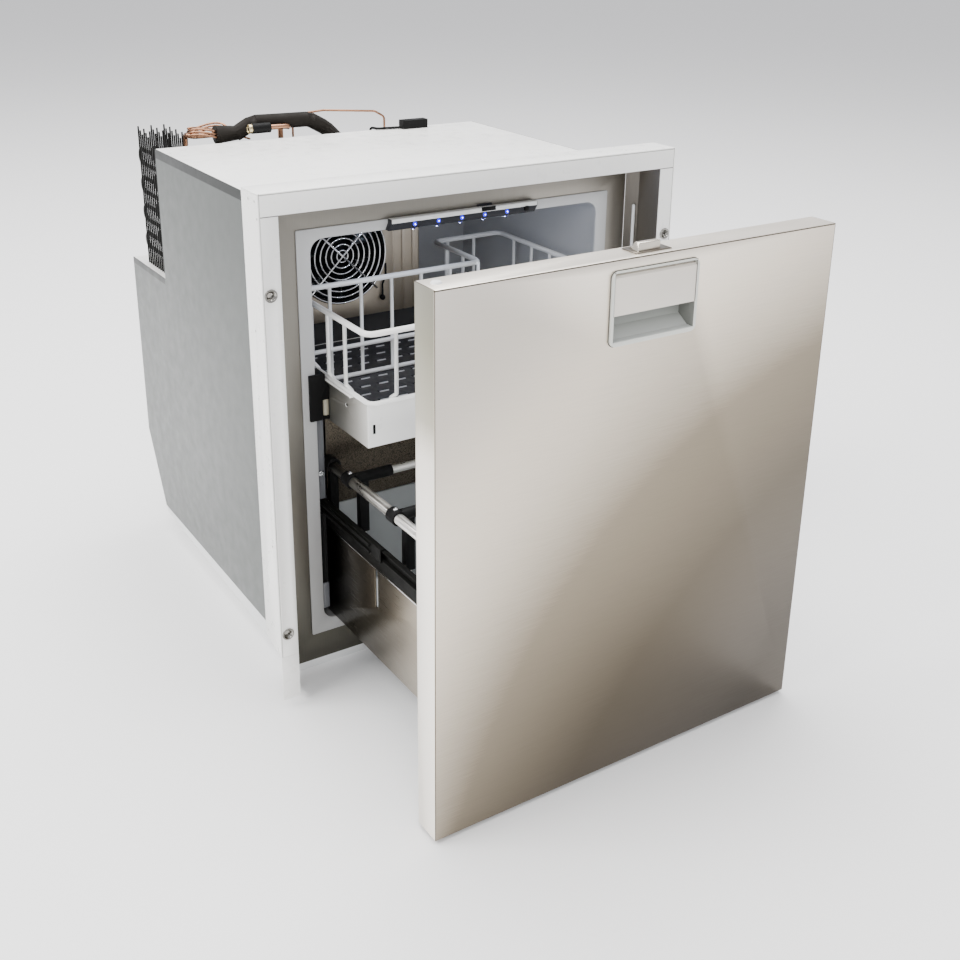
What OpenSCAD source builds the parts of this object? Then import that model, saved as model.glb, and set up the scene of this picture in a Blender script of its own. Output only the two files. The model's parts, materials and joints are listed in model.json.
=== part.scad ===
// Built-in drawer freezer with a brushed steel front, standing with its drawer part way out.
// X runs to the right, Y to the back and Z up. Millimetres.

/* [Trim frame] */
// Width over the trim frame's side strips
flange_width = 500; // [460:1:560]
// Height of the trim frame's top edge over the front's lower edge
flange_top = 549; // [520:1:600]
// Width of each side strip
side_strip = 19.5; // [18:0.5:30]
// Height of the top strip
top_strip = 22; // [16:0.5:30]
// Depth of the outer return behind the strips
return_depth = 38; // [30:1:45]
// Distance from the strips' front back to the steel face frame
face_depth = 48; // [46:1:60]
// Sheet thickness of the trim frame
frame_sheet = 1.2; // [0.8:0.1:2]
// Height of the lower screws
screw_low = 83; // [60:1:120]
// Height of the upper screws
screw_high = 451.5; // [400:0.5:500]
// Radius of the screws' holes
screw_hole_r = 2.6; // [2:0.1:3]

/* [Cabinet] */
// Width of the cabinet behind the trim frame
body_width = 436; // [420:1:450]
// Height of the cabinet's top
body_top = 527; // [515:1:545]
// Distance from the strips' front to the upper back
upper_back = 375; // [360:1:400]
// Distance from the strips' front to the lower back
lower_back = 495; // [480:1:560]
// Height of the step under the cooling unit
step_z = 370; // [355:1:385]
// Height where the lower back starts to slant
slant_z = 132; // [100:1:160]
// Depth of the slant at the cabinet's lower edge
slant_y = 447; // [430:1:470]
// Height of the side sheets' lower edge
skin_low = 28; // [24:1:34]
// Thickness of the outer sheets
skin = 1; // [0.7:0.1:1.5]

/* [Cavity] */
// Width of the cavity
cavity_width = 360; // [356:1:380]
// Height of the cavity's floor
cavity_low = 54; // [50:1:56]
// Height of the cavity's ceiling
cavity_high = 488; // [480:1:495]
// Distance from the strips' front to the cavity's back
cavity_back = 335; // [330:1:350]
// Wall thickness of the liner
liner_wall = 2; // [1.5:0.1:3]
// Width of the liner's rim on the face frame
liner_rim = 13; // [8:1:16]

/* [Drawer] */
// Width of the drawer front
front_width = 442; // [430:1:450]
// Height of the drawer front
front_height = 523; // [510:1:525]
// Thickness of the drawer front
front_depth = 31; // [28:1:34]
// How far the drawer stands open
drawer_open = 266; // [200:1:300]
// How far the drawer opens at most
drawer_travel = 350; // [320:1:360]
// Width of the drawer box
box_width = 330; // [320:1:332]
// Height of the drawer box's lower edge
box_low = 57; // [56.5:0.5:65]
// Height of the drawer box's upper edge
box_high = 182; // [170:1:200]
// Distance from the strips' front to the closed box's back
box_end = 330; // [320:1:332]
// Height of the divider rails
rail_z = 237; // [225:1:250]
// Radius of the divider rails
rail_r = 5.5; // [4:0.5:7]

/* [Tray] */
// Width of the sliding tray
tray_width = 325; // [315:1:326]
// Height of the tray's lower side
tray_low = 291; // [285:1:300]
// Height of the tray's walls
tray_wall = 46; // [40:1:50]
// Distance from the strips' front forward to the tray's front at rest
tray_out = 38; // [30:1:45]
// How far the tray goes back as the drawer shuts
tray_back = 74; // [70:1:76]
// Length of the tray
tray_length = 278; // [260:1:290]
// Height of the basket's top wire
basket_high = 413; // [390:1:430]
// Pitch of the basket's upright wires
basket_pitch = 38; // [30:1:50]

/* [Latch and handle] */
// Width of the handle's frame
bezel_width = 97; // [90:1:110]
// Distance from the front's upper edge down to the handle frame's lower edge
bezel_low = 77; // [70:1:90]
// Distance from the front's upper edge down to the handle frame's upper edge
bezel_high = 10; // [8:1:20]
// Travel of the latch bolt
latch_travel = 9; // [6:0.5:12]

/* [Cooling] */
// Width of the fans
fan_size = 119; // [110:1:120]
// Height of the evaporator fan's centre
fan_z = 418; // [410:1:420]
// Width of the condenser's fan
condenser_fan_size = 111; // [100:1:115]
// Depth of the condenser's fan
condenser_fan_depth = 25; // [20:1:32]
// Height of the electronics box
electronics_height = 130; // [100:1:140]
// Diameter of the insulated suction pipe
foam_dia = 19; // [16:1:28]

/* [View] */
// Sub-part to draw

/* [Hidden] */

// Room between pieces that move past each other.
run_gap = 0.5;
// Room between a piece and the one that it's fitted into.
fit_gap = 0.3;
// Radial room between a shaft and its bore.
bore_gap = 0.05;
$fn = 48;

// Height of the flat underside under the drawer front's lower edge.
front_lift = 4;
base_low = -front_lift;
// The middle of the base, seen from the strips' front plane.
base_front = 52;
base_back = 448;
base_mid = (base_front + base_back) / 2;

half_flange = flange_width / 2;
strip_in = half_flange - side_strip;
strip_low = flange_top - top_strip;
screw_x = half_flange - 8.5;
half_body = body_width / 2;
half_face = half_body + 2;
half_cavity = cavity_width / 2;
mouth_half = half_cavity - 2;
rim_half = half_cavity + liner_rim;
rim_r = 2;
rim_front = face_depth - 1.5;
cavity_mid_z = (cavity_low + cavity_high) / 2;
cavity_height = cavity_high - cavity_low;
mouth_r = 14;
button_x = half_cavity - 104;
button_z = cavity_high + 4;
button_r = 2.5;
buffer_high = cavity_high - 9.8;

half_front = front_width / 2;
front_y = -drawer_open;
front_back = front_y + front_depth;
half_box = box_width / 2;
box_back = box_end - drawer_open;
rail_x = half_box - 5;

slide_z = box_high + 9;
slide_front = face_depth + 7;
slide_back = box_end;

half_tray = tray_width / 2;
tray_y = -tray_out;
tray_end = tray_y + tray_length;
tray_high = tray_low + tray_wall;
tray_sheet = 1.5;
tray_lip = 4.5;
mat_top = tray_low + 12;

ring_z = tray_high + 2.8;
low_ring_z = mat_top + 2.8;
basket_rear = tray_end - 13;
basket_notch_x = 70;
basket_notch_y = 121;

roller_x = half_tray + 4.5;
roller_r = 4;
support_r = 7;
support_y = face_depth + 24;
support_z = tray_high - tray_sheet - fit_gap - support_r;
guide_y = face_depth + 1;
block_in = half_tray + 2;
block_low = tray_low + 4;
block_high = tray_high + 8.5;
block_end = face_depth + 52;

handle_low = front_height - bezel_low;
handle_high = front_height - bezel_high;
bezel_mid = (handle_low + handle_high) / 2;
flap_low = handle_low + 27;
flap_high = handle_high - 2;
flap_half = bezel_width / 2 - 3;
hinge_z = flap_high - 3;
hinge_y = front_y + 4;
bolt_half = 12;
bolt_y = front_y + 10;
bolt_depth = 13;

cover_front = 206;
cover_low = tray_high + 5;
cover_left = -half_cavity + fit_gap;
cover_right = 37;
fan_x = -65;

steel = [0.74, 0.72, 0.69];
frame_steel = [0.6, 0.58, 0.55];
grey_paint = [0.62, 0.65, 0.67];
white_paint = [0.92, 0.92, 0.9];
white_plastic = [0.9, 0.92, 0.94];
grey_plastic = [0.62, 0.66, 0.7];
black_plastic = [0.06, 0.06, 0.07];
rubber_grey = [0.3, 0.3, 0.31];
chrome_grey = [0.85, 0.86, 0.88];
copper = [0.72, 0.42, 0.26];
foam_yellow = [0.85, 0.78, 0.55];

// Everything is measured from the strips' front plane and the drawer front's lower edge, and is
// moved so that the middle of the flat underside is the origin.
module placed() {
    translate([0, -base_mid, front_lift])
        children();
}

// A block between two limits on each axis.
module slab(x, y, z) {
    translate([x[0], y[0], z[0]])
        cube([x[1] - x[0], y[1] - y[0], z[1] - z[0]]);
}

module rod_x(x, y, z, r) {
    translate([x[0], y, z])
        rotate([0, 90, 0])
            cylinder(r = r, h = x[1] - x[0]);
}

module rod_y(x, y, z, r) {
    translate([x, y[0], z])
        rotate([-90, 0, 0])
            cylinder(r = r, h = y[1] - y[0]);
}

module rod_z(x, y, z, r) {
    translate([x, y, z[0]])
        cylinder(r = r, h = z[1] - z[0]);
}

// A profile in X and Z, drawn out along Y.
module along_y(y) {
    translate([0, y[1], 0])
        rotate([90, 0, 0])
            linear_extrude(height = y[1] - y[0])
                children();
}

// A profile in Y and Z, drawn out along X.
module along_x(x) {
    translate([x[0], 0, 0])
        rotate([90, 0, 90])
            linear_extrude(height = x[1] - x[0])
                children();
}

// The same piece on the left and on the right.
module both_sides() {
    children();
    mirror([1, 0, 0])
        children();
}

module on_side(side) {
    mirror([side < 0 ? 1 : 0, 0, 0])
        children();
}

module round_rect(w, h, r) {
    square([w - 2 * r, h], center = true);
    square([w, h - 2 * r], center = true);
    for (x = [-1, 1], y = [-1, 1])
        translate([x * (w / 2 - r), y * (h / 2 - r)])
            circle(r = r);
}

function unit(v) = v / norm(v);
function turning(a, b, c) = acos(unit(b - a) * unit(c - b));
function setback(a, b, c, bend) = bend * tan(turning(a, b, c) / 2);

// Places its child with the child's X, Y and Z along three given directions.
module framed(p, x, y, z) {
    multmatrix([[x[0], y[0], z[0], p[0]], [x[1], y[1], z[1], p[1]], [x[2], y[2], z[2], p[2]],
        [0, 0, 0, 1]])
        children();
}

module rod(a, b, r) {
    z = unit(b - a);
    x = unit(cross(abs(z[2]) > 0.9 ? [1, 0, 0] : [0, 0, 1], z));
    framed(a, x, cross(z, x), z)
        cylinder(r = r, h = norm(b - a));
}

module elbow(a, b, c, r, bend) {
    u = unit(b - a);
    v = unit(c - b);
    inward = unit(v - u * (u * v));
    start = b - u * setback(a, b, c, bend);
    framed(start + inward * bend, -inward, u, cross(-inward, u))
        rotate_extrude(angle = turning(a, b, c))
            translate([bend, 0])
                circle(r = r);
}

// A round wire or pipe through a list of points, with every corner on the same bend radius.
// The straights run into the bends by lap.
module bent_rod(p, r, bend, lap = 0) {
    n = len(p);
    for (i = [0 : n - 2])
        let (d = unit(p[i + 1] - p[i]),
            s = i == 0 ? 0 : setback(p[i - 1], p[i], p[i + 1], bend),
            e = i == n - 2 ? 0 : setback(p[i], p[i + 1], p[i + 2], bend))
            rod(p[i] + d * max(0, s - lap), p[i + 1] - d * max(0, e - lap), r);
    for (i = [1 : 1 : n - 2])
        elbow(p[i - 1], p[i], p[i + 1], r, bend);
}

// Takes away all that lies beyond a plane through p, on the side that n points to.
module beyond(p, n) {
    z = unit(n);
    x = unit(cross(abs(z[2]) > 0.9 ? [1, 0, 0] : [0, 0, 1], z));
    framed(p, x, cross(z, x), z)
        translate([-500, -500, 0])
            cube([1000, 1000, 300]);
}

module side_profile(inset) {
    polygon([[face_depth + skin + 0.2, skin_low], [slant_y - inset, skin_low + 8],
        [lower_back - inset, slant_z], [lower_back - inset, step_z - inset],
        [upper_back - inset, step_z - inset], [upper_back - inset, body_top - inset],
        [face_depth + skin + 0.2, body_top - inset]]);
}

module side_skin() {
    color(grey_paint)
        along_x([half_body - skin, half_body])
            side_profile(0);
}

module side_skin_left() {
    on_side(-1)
        side_skin();
}

module side_skin_right() {
    side_skin();
}

// The top sheet lies between the side sheets, with a rolled edge along the front.
module top_skin() {
    color(white_paint)
        slab([-half_body + skin, half_body - skin], [face_depth + skin + 0.2, upper_back],
            [body_top - skin, body_top]);
}

// The folded sheet of the notch: the upper back and the step under the cooling unit.
module notch_skin() {
    across = [-half_body + skin, half_body - skin];
    color(white_paint)
        difference() {
            union() {
                slab(across, [upper_back - skin, upper_back], [step_z, body_top - skin]);
                slab(across, [upper_back - skin, lower_back], [step_z - skin, step_z]);
            }
            for (x = [110, 160])
                rod_z(x, upper_back + 22, [step_z - 5, step_z + 5], 9);
        }
}

// The lower rear cover, with two fields of slots for the electronics behind it.
module rear_lower_cover() {
    color(grey_paint)
        difference() {
            along_x([-half_body + skin, half_body - skin])
                polygon([[lower_back, step_z - skin], [lower_back, slant_z],
                    [slant_y, skin_low + 8], [slant_y - skin, skin_low + 8.5],
                    [lower_back - skin, slant_z + 0.3], [lower_back - skin, step_z - skin]]);
            for (x = [-130 : 20 : 130])
                slab([x - 3, x + 3], [lower_back - 5, lower_back + 5], [200, 300]);
        }
}

// A moulded pan with a straight white edge that slopes up to the back, and sides drawn in below it.
module base_pan() {
    edge_front = 7;
    edge_back = 29;
    along = [0, slant_y - face_depth, edge_back - edge_front];
    color(white_plastic)
        difference() {
            along_x([-half_body, half_body])
                polygon([[face_depth + 1.2, skin_low], [face_depth + 1.2, edge_front],
                    [base_front, base_low], [base_back, base_low], [base_back, edge_back - 12],
                    [slant_y - 4, skin_low + 2], [slant_y - 4, skin_low + 7.5]]);
            both_sides()
                beyond([half_body, face_depth, edge_front], cross([-1, 0, -1], along));
        }
}

// Insulating foam around the cavity, from the face frame to the upper back, with the room for the
// electronics behind its lower part.
module cabinet_foam() {
    wall = half_cavity + liner_wall + fit_gap;
    color(foam_yellow)
        difference() {
            slab([-half_body + skin + fit_gap, half_body - skin - fit_gap],
                [face_depth + 2, upper_back - skin - fit_gap],
                [skin_low + 8.5, body_top - skin - fit_gap]);
            along_y([face_depth, cavity_back + liner_wall + fit_gap])
                translate([0, cavity_mid_z])
                    round_rect(2 * wall, cavity_height + 2 * (liner_wall + fit_gap), mouth_r + 2);
        }
}

// The moulded liner: a deep tub with a flat rim on the face frame.
module liner() {
    color(white_plastic)
        difference() {
            union() {
                along_y([rim_front, face_depth])
                    translate([0, cavity_mid_z - 2])
                        round_rect(2 * rim_half, cavity_height + 24, rim_r);
                along_y([face_depth, cavity_back + liner_wall])
                    translate([0, cavity_mid_z])
                        round_rect(2 * (half_cavity + liner_wall), cavity_height + 2 * liner_wall,
                            mouth_r + liner_wall);
            }
            along_y([rim_front - 1, face_depth + 4])
                translate([0, cavity_mid_z])
                    round_rect(2 * mouth_half, cavity_height - 2, mouth_r);
            along_y([face_depth + 3, cavity_back])
                translate([0, cavity_mid_z])
                    round_rect(2 * half_cavity, cavity_height, mouth_r);
        }
}

// The brushed steel sheet that the gasket closes on.
module face_frame() {
    hole = half_cavity + liner_wall + fit_gap;
    color(frame_steel)
        difference() {
            slab([-half_face, half_face], [face_depth, face_depth + skin], [7.5, strip_low - 1]);
            along_y([face_depth - 5, face_depth + 5])
                translate([0, cavity_mid_z])
                    round_rect(2 * hole, cavity_height + 2 * (liner_wall + fit_gap), mouth_r + 2);
        }
}

// The folded steel channel between the strips and the face frame, on both sides and the top.
module recess_frame() {
    t = 0.8;
    bend_y = face_depth - 12;
    color(frame_steel)
        difference() {
            union() {
                both_sides()
                    translate([0, 0, 7.5])
                        linear_extrude(height = strip_low - 7.5)
                            polygon([[strip_in, frame_sheet], [strip_in + t, frame_sheet],
                                [strip_in + t, bend_y], [half_face + t, face_depth],
                                [half_face, face_depth], [strip_in, bend_y]]);
                slab([-strip_in - t, strip_in + t], [frame_sheet, face_depth],
                    [strip_low, strip_low + t]);
            }
            slab([-bolt_half - 3, bolt_half + 3], [bolt_y - front_y - 3, bolt_y - front_y + bolt_depth + 3],
                [strip_low - 1, strip_low + 2]);
        }
}

// The white painted frame that screws to the furniture.
module trim_frame() {
    color(white_paint)
        difference() {
            union() {
                both_sides() {
                    slab([strip_in, half_flange], [0, frame_sheet], [4, flange_top]);
                    along_x([half_flange - frame_sheet, half_flange])
                        polygon([[0, 56], [return_depth, 66], [return_depth, flange_top],
                            [0, flange_top]]);
                }
                slab([-half_flange, half_flange], [0, frame_sheet], [strip_low, flange_top]);
                slab([-half_flange, half_flange], [0, return_depth],
                    [flange_top - frame_sheet, flange_top]);
            }
            for (x = [-screw_x, screw_x], z = [screw_low, screw_high])
                rod_y(x, [-1, frame_sheet + 1], z, 5.2);
            both_sides()
                for (p = [[22, 541], [8, 541], [4, 525], [21, 412], [9, 184]])
                    rod_x([half_flange - 5, half_flange + 1], p[0], p[1], 1.5);
        }
}

// Raised cups that carry the screws' heads.
module screw_cups() {
    color(chrome_grey)
        for (x = [-screw_x, screw_x], z = [screw_low, screw_high])
            difference() {
                union() {
                    rod_y(x, [-1, 0], z, 6.5);
                    rod_y(x, [-0.5, 5], z, 5);
                }
                rod_y(x, [-2, 6], z, screw_hole_r);
                translate([x, -1.1, z])
                    rotate([-90, 0, 0])
                        cylinder(r1 = 5, r2 = screw_hole_r, h = 3);
            }
}

// Round buffer strips in the corners beside the face frame.
module side_buffers() {
    color(white_plastic)
        both_sides()
            union() {
                rod_z(half_face + 5.9, face_depth - 9.8, [skin_low + 2, buffer_high], 1.8);
                translate([half_face + 5.9, face_depth - 9.8, buffer_high])
                    sphere(r = 1.8);
            }
}

module rail_brackets() {
    color(grey_plastic)
        both_sides() {
            slab([half_cavity - 11.5, half_cavity - 2], [face_depth + 4.2, face_depth + 27],
                [slide_z + 9.2, block_low - fit_gap]);
            slab([half_cavity - 2, half_cavity], [face_depth + 8, face_depth + 22],
                [slide_z + 14, block_low - 6]);
            rod_y(half_cavity - 6.5, [face_depth + 2.2, face_depth + 4.2], 231, 3);
        }
}

// The block that the tray's lip runs in. Its face plate stands on the liner's rim, a pocket at the
// front holds the upright guide roller, and the channel holds the support roller under the lip.
module runner_block() {
    channel_low = tray_high - tray_sheet - 2 * support_r - 2;
    difference() {
            union() {
                slab([block_in, rim_half - 7], [rim_front - 3.3, rim_front], [block_low, block_high]);
                slab([block_in, mouth_half - 0.2], [rim_front, face_depth + 4], [block_low, block_high]);
                slab([block_in, half_cavity], [face_depth + 4, block_end],
                    [block_low, block_high]);
            }
            slab([block_in - 1, half_tray + tray_lip + 1.5], [face_depth - 10, block_end + 1],
                [tray_high - 2.5, block_high + 1]);
            slab([block_in - 1, half_tray + tray_lip + 3], [support_y - support_r - 2, block_end + 1],
                [channel_low, block_high + 1]);
            slab([block_in - 1, roller_x + roller_r + 1], [guide_y - 6, guide_y + 6],
                [tray_low + 7, tray_low + 26]);
            slab([block_in + 3, half_cavity - 3], [block_end - 20, block_end + 1],
                [block_low + 6, channel_low - 6]);
        }
    rod_z(roller_x, guide_y, [tray_low + 6, tray_low + 27], 1.5);
    rod_x([roller_x - 3, half_tray + tray_lip + 4], support_y, support_z, 2);
}

module runner_blocks() {
    color(black_plastic)
        both_sides()
            runner_block();
}

// Moulded ledges that carry the tray's lip behind the blocks.
module support_ledges() {
    color(white_plastic)
        both_sides()
            difference() {
                slab([block_in + 1, half_cavity], [block_end + 2, cavity_back - 4],
                    [tray_high - 16, tray_high - tray_sheet - fit_gap]);
                for (y = [block_end + 20 : 40 : cavity_back - 40])
                    slab([block_in, half_cavity - 3], [y, y + 30], [tray_high - 20, tray_high - 5]);
            }
}

module guide_pads() {
    color(grey_plastic)
        both_sides()
            union() {
                slab([half_box + 4.5, mouth_half - 0.2], [face_depth + 1, face_depth + 10], [68, 99]);
                slab([mouth_half - 1, half_cavity], [face_depth + 4, face_depth + 10], [68, 99]);
            }
}

module light_bar() {
    color(black_plastic)
        difference() {
            along_y([rim_front - 7, rim_front])
                polygon([[-94, cavity_high - 1], [87, cavity_high - 1], [91, cavity_high + 6],
                    [91, cavity_high + 10], [-91, cavity_high + 10], [-91, cavity_high + 6]]);
            for (x = [-63 : 28.5 : 51])
                rod_z(x, rim_front - 3.5, [cavity_high - 2, cavity_high + 3], 3.2);
            slab([button_x - button_r - 0.2, button_x + button_r + 0.2], [rim_front - 8, rim_front - 2],
                [button_z - button_r - 0.2, button_z + button_r + 0.2]);
        }
    color(white_plastic)
        slab([18, 36], [rim_front, rim_front + 1.5], [cavity_high + 10.3, cavity_high + 13]);
}

module led_lenses() {
    color([0.5, 0.6, 1])
        for (x = [-63 : 28.5 : 51])
            union() {
                rod_z(x, rim_front - 3.5, [cavity_high - 1, cavity_high + 3], 3);
                intersection() {
                    translate([x, rim_front - 3.5, cavity_high - 1])
                        sphere(r = 2.5);
                    slab([x - 4, x + 4], [0, 60], [cavity_high - 8, cavity_high]);
                }
            }
}

// The small push button at the light bar's end.
module control_button() {
    color(black_plastic)
        slab([button_x - button_r, button_x + button_r], [rim_front - 8.8, rim_front - 4],
            [button_z - button_r, button_z + button_r]);
}

// The steel cover round the evaporator, open to the back, with the fan's round opening.
module cover_block(inset, back) {
    intersection() {
        slab([cover_left + inset, cover_right - inset], [cover_front + inset, back],
            [cover_low + inset, cavity_high - 2 - inset]);
        along_y([cover_front - 1, cavity_back])
            translate([0, cavity_mid_z])
                round_rect(2 * (half_cavity - fit_gap - inset), cavity_height - 2 * (fit_gap + inset),
                    mouth_r - fit_gap - inset);
    }
}

module evaporator_cover() {
    rib = 1.2;
    color(steel)
        difference() {
            union() {
                cover_block(0, cavity_back - 2);
                for (x = [cover_right - 36 : 14 : cover_right - 8])
                    translate([0, 0, cover_low])
                        linear_extrude(height = cavity_high - 2 - cover_low)
                            polygon([[x, cover_front + 0.5], [x, cover_front], [x + 1.8, cover_front - rib],
                                [min(x + 11.2, cover_right - 1.8), cover_front - rib],
                                [min(x + 13, cover_right), cover_front],
                                [min(x + 13, cover_right), cover_front + 0.5]]);
            }
            cover_block(1, cavity_back);
            rod_y(fan_x, [cover_front - 2, cover_front + 2], fan_z, fan_size / 2 - 6);
        }
}

module fan_guard() {
    wire = 1;
    color(black_plastic)
        union() {
            for (i = [1 : 8])
                translate([fan_x, cover_front - wire, fan_z])
                    rotate([90, 0, 0])
                        rotate_extrude()
                            translate([7 * i, 0])
                                circle(r = wire, $fn = 16);
            for (a = [45, 135])
                translate([fan_x, cover_front - 2.2 * wire, fan_z])
                    rotate([0, a, 0])
                        translate([-62, 0, 0])
                            rotate([0, 90, 0])
                                cylinder(r = 1.2 * wire, h = 124, $fn = 16);
        }
}

module fan_frame(size, depth) {
    difference() {
        along_y([0, depth])
            difference() {
                round_rect(size, size, 6);
                circle(r = size / 2 - 4);
                for (x = [-1, 1], z = [-1, 1])
                    translate([x * (size / 2 - 7), z * (size / 2 - 7)])
                        circle(r = 2.1);
            }
    }
    difference() {
        union() {
            rod_y(0, [depth - 3, depth], 0, 20);
            for (a = [0 : 90 : 270])
                rotate([0, a + 20, 0])
                    slab([15, size / 2 - 3], [depth - 3, depth], [-2.5, 2.5]);
        }
    }
    rod_y(0, [depth - 12, depth - 2], 0, 3);
}

// Hub and seven pitched blades, with a bore that turns on the frame's pin.
module fan_blades(size, depth) {
    hub = 19;
    difference() {
        union() {
            rod_y(0, [3, depth - 4], 0, hub);
            for (i = [0 : 6])
                rotate([0, i * 360 / 7, 0])
                    translate([hub - 1, (depth - 1) / 2, 0])
                        rotate([38, 0, 0])
                            slab([0, size / 2 - 6.5 - hub], [-1, 1], [-12, 12]);
        }
        rod_y(0, [depth - 12.5, depth], 0, 3 + bore_gap);
    }
}

module evaporator_fan_housing() {
    color(black_plastic)
        translate([fan_x, cover_front + 1, fan_z])
            fan_frame(fan_size, 25);
}

module evaporator_fan_rotor() {
    color(black_plastic)
        translate([fan_x, cover_front + 1, fan_z])
            fan_blades(fan_size, 25);
}

module temperature_probe() {
    $fn = 12;
    color(black_plastic)
        union() {
            translate([-15, cover_front - 3.8, cover_low + 20])
                sphere(r = 3.5);
            bent_rod([[-15, cover_front - 3.8, cover_low + 20],
                [-15, cover_front - 3.8, cover_low + 36], [-9, cover_front - 1.3, cover_low + 46],
                [-9, cover_front - 1.3, cover_low + 60]], 1.2, 3, 0.1);
        }
}

// Finned coil behind the fan.
module evaporator() {
    color(chrome_grey)
        union() {
            for (x = [cover_left + 14 : 9 : cover_right - 22])
                slab([x, x + 0.8], [244, 300], [cover_low + 8, cavity_high - 12]);
            for (y = [256, 288], z = [cover_low + 26 : 26 : cavity_high - 26])
                rod_x([cover_left + 8, cover_right - 14], y, z, 4);
        }
    color(chrome_grey)
        both_sides_of(cover_left + 8, cover_right - 15);
}

// End plates that hang the coil in the cover.
module both_sides_of(a, b) {
    for (x = [a, b])
        slab([x, x + 1], [240, cavity_back - 2], [cover_low + 1, cavity_high - 3]);
}

module slides_fixed() {
    web = half_box + 11.3;
    color(frame_steel)
        both_sides() {
            slab([web, web + 1.2], [slide_front, slide_back], [slide_z - 8.6, slide_z + 8.6]);
            for (z = [slide_z - 8.6, slide_z + 7.6])
                slab([half_box + 4, web], [slide_front, slide_back], [z, z + 1]);
            for (y = [slide_front + 30, slide_back - 30])
                rod_x([web + 1, half_cavity], y, slide_z, 5);
        }
}

module slide_middle() {
    web = half_box + 6.4;
    color(black_plastic)
        translate([0, -drawer_open / 2, 0])
            union() {
                slab([web, web + 1.2], [slide_front, slide_back], [slide_z - 7.1, slide_z + 7.1]);
                for (z = [slide_z - 7.1, slide_z + 6.1])
                    slab([half_box + 2, web], [slide_front, slide_back], [z, z + 1]);
                for (z = [slide_z - 4, slide_z + 4])
                    rod_y(web + 2.6, [slide_front + 20, slide_back], z, 1.6);
            }
}

module slide_middle_left() {
    on_side(-1)
        slide_middle();
}

module slide_middle_right() {
    slide_middle();
}

module slides_drawer() {
    color(frame_steel)
        translate([0, -drawer_open, 0])
            both_sides() {
                slab([half_box, half_box + 1.2], [slide_front, slide_back],
                    [box_high - 16, slide_z + 5.6]);
                for (z = [slide_z - 5.6, slide_z + 4.6])
                    slab([half_box + 1, half_box + 5.9], [slide_front, slide_back], [z, z + 1]);
            }
}

// The pressed steel front with folded edges.
module front_skin() {
    fold = 26;
    color(steel)
        difference() {
            slab([-half_front, half_front], [front_y, front_y + fold], [0, front_height]);
            slab([-half_front + 1, half_front - 1], [front_y + 1, front_y + fold + 1],
                [1, front_height - 1]);
            slab([-bezel_width / 2 + 2, bezel_width / 2 - 2], [front_y - 2, front_y + 5],
                [handle_low + 2, handle_high - 2]);
            slab([-14, 18], [bolt_y - 2, front_y + 25], [front_height - 5, front_height + 5]);
        }
}

// The room for the handle's pocket in the pieces behind the front sheet.
module handle_room() {
    slab([-bezel_width / 2, bezel_width / 2], [front_y, front_y + 22], [handle_low, handle_high]);
}

module front_foam() {
    color(foam_yellow)
        difference() {
            slab([-half_front + 1.3, half_front - 1.3], [front_y + 1.3, front_back - 5.3],
                [1.3, front_height - 1.3]);
            handle_room();
            slab([-16, 20], [bolt_y - 2, front_y + 25.6], [handle_low + 22, front_height]);
            slab([-half_tray - 14, half_tray + 14], [front_back - 13.3, front_back],
                [tray_low + 2, basket_high + 11]);
        }
}

// The white inner pan of the front, with a dish that the tray's basket closes into.
module inner_pan() {
    dish = 8;
    dish_back = front_back - 5 - dish;
    color(white_plastic)
        difference() {
            union() {
                along_y([front_back - 5, front_back])
                    translate([0, front_height / 2])
                        round_rect(front_width, front_height, 3);
                slab([-half_tray - 13, half_tray + 13], [dish_back, front_back - 3],
                    [tray_low + 3, basket_high + 10]);
            }
            slab([-half_tray - 11, half_tray + 11], [dish_back + 1.5, front_back + 1],
                [tray_low + 5, basket_high + 8]);
            handle_room();
        }
}

module gasket() {
    y = [front_back, front_back + face_depth - front_depth - 0.7];
    color(rubber_grey)
        difference() {
            slab([-half_front + 5, half_front - 5], y, [12, front_height - 4]);
            slab([-half_front + 21, half_front - 21], [y[0] - 1, y[1] + 1], [30, front_height - 20]);
        }
}

// The handle's frame: a raised rim, the finger pocket under the flap with its sloping floor, and
// the shallow bed behind the flap.
module handle_bezel() {
    half = bezel_width / 2;
    pocket_high = flap_low;
    color(grey_plastic)
        difference() {
            union() {
                along_y([front_y - 2.5, front_y])
                    translate([0, bezel_mid])
                        round_rect(bezel_width, handle_high - handle_low, 6);
                slab([-half + 2.3, half - 2.3], [front_y, front_y + 8.5],
                    [handle_low + 2.3, handle_high - 2.3]);
                slab([-half + 2.3, half - 2.3], [front_y + 8.5, front_y + 20],
                    [handle_low + 2.3, pocket_high + 1]);
            }
            slab([-flap_half - 0.5, flap_half + 0.5], [front_y - 5, front_y + 7],
                [flap_low, flap_high + 0.5]);
            along_x([-flap_half, flap_half])
                polygon([[front_y - 5, handle_low + 4], [front_y + 6, handle_low + 4],
                    [front_y + 18, handle_low + 12], [front_y + 18, pocket_high - 1.5],
                    [front_y + 7, pocket_high - 1.5], [front_y + 7, pocket_high + 1],
                    [front_y - 5, pocket_high + 1]]);
            slab([-3, 3], [front_y + 5, front_y + 9], [flap_low + 8, flap_low + 24]);
        }
    color(grey_plastic)
        for (x = [-flap_half - 0.7, flap_half - 3.3])
            rod_x([x, x + 4], hinge_y, hinge_z, 1.2);
}

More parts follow.
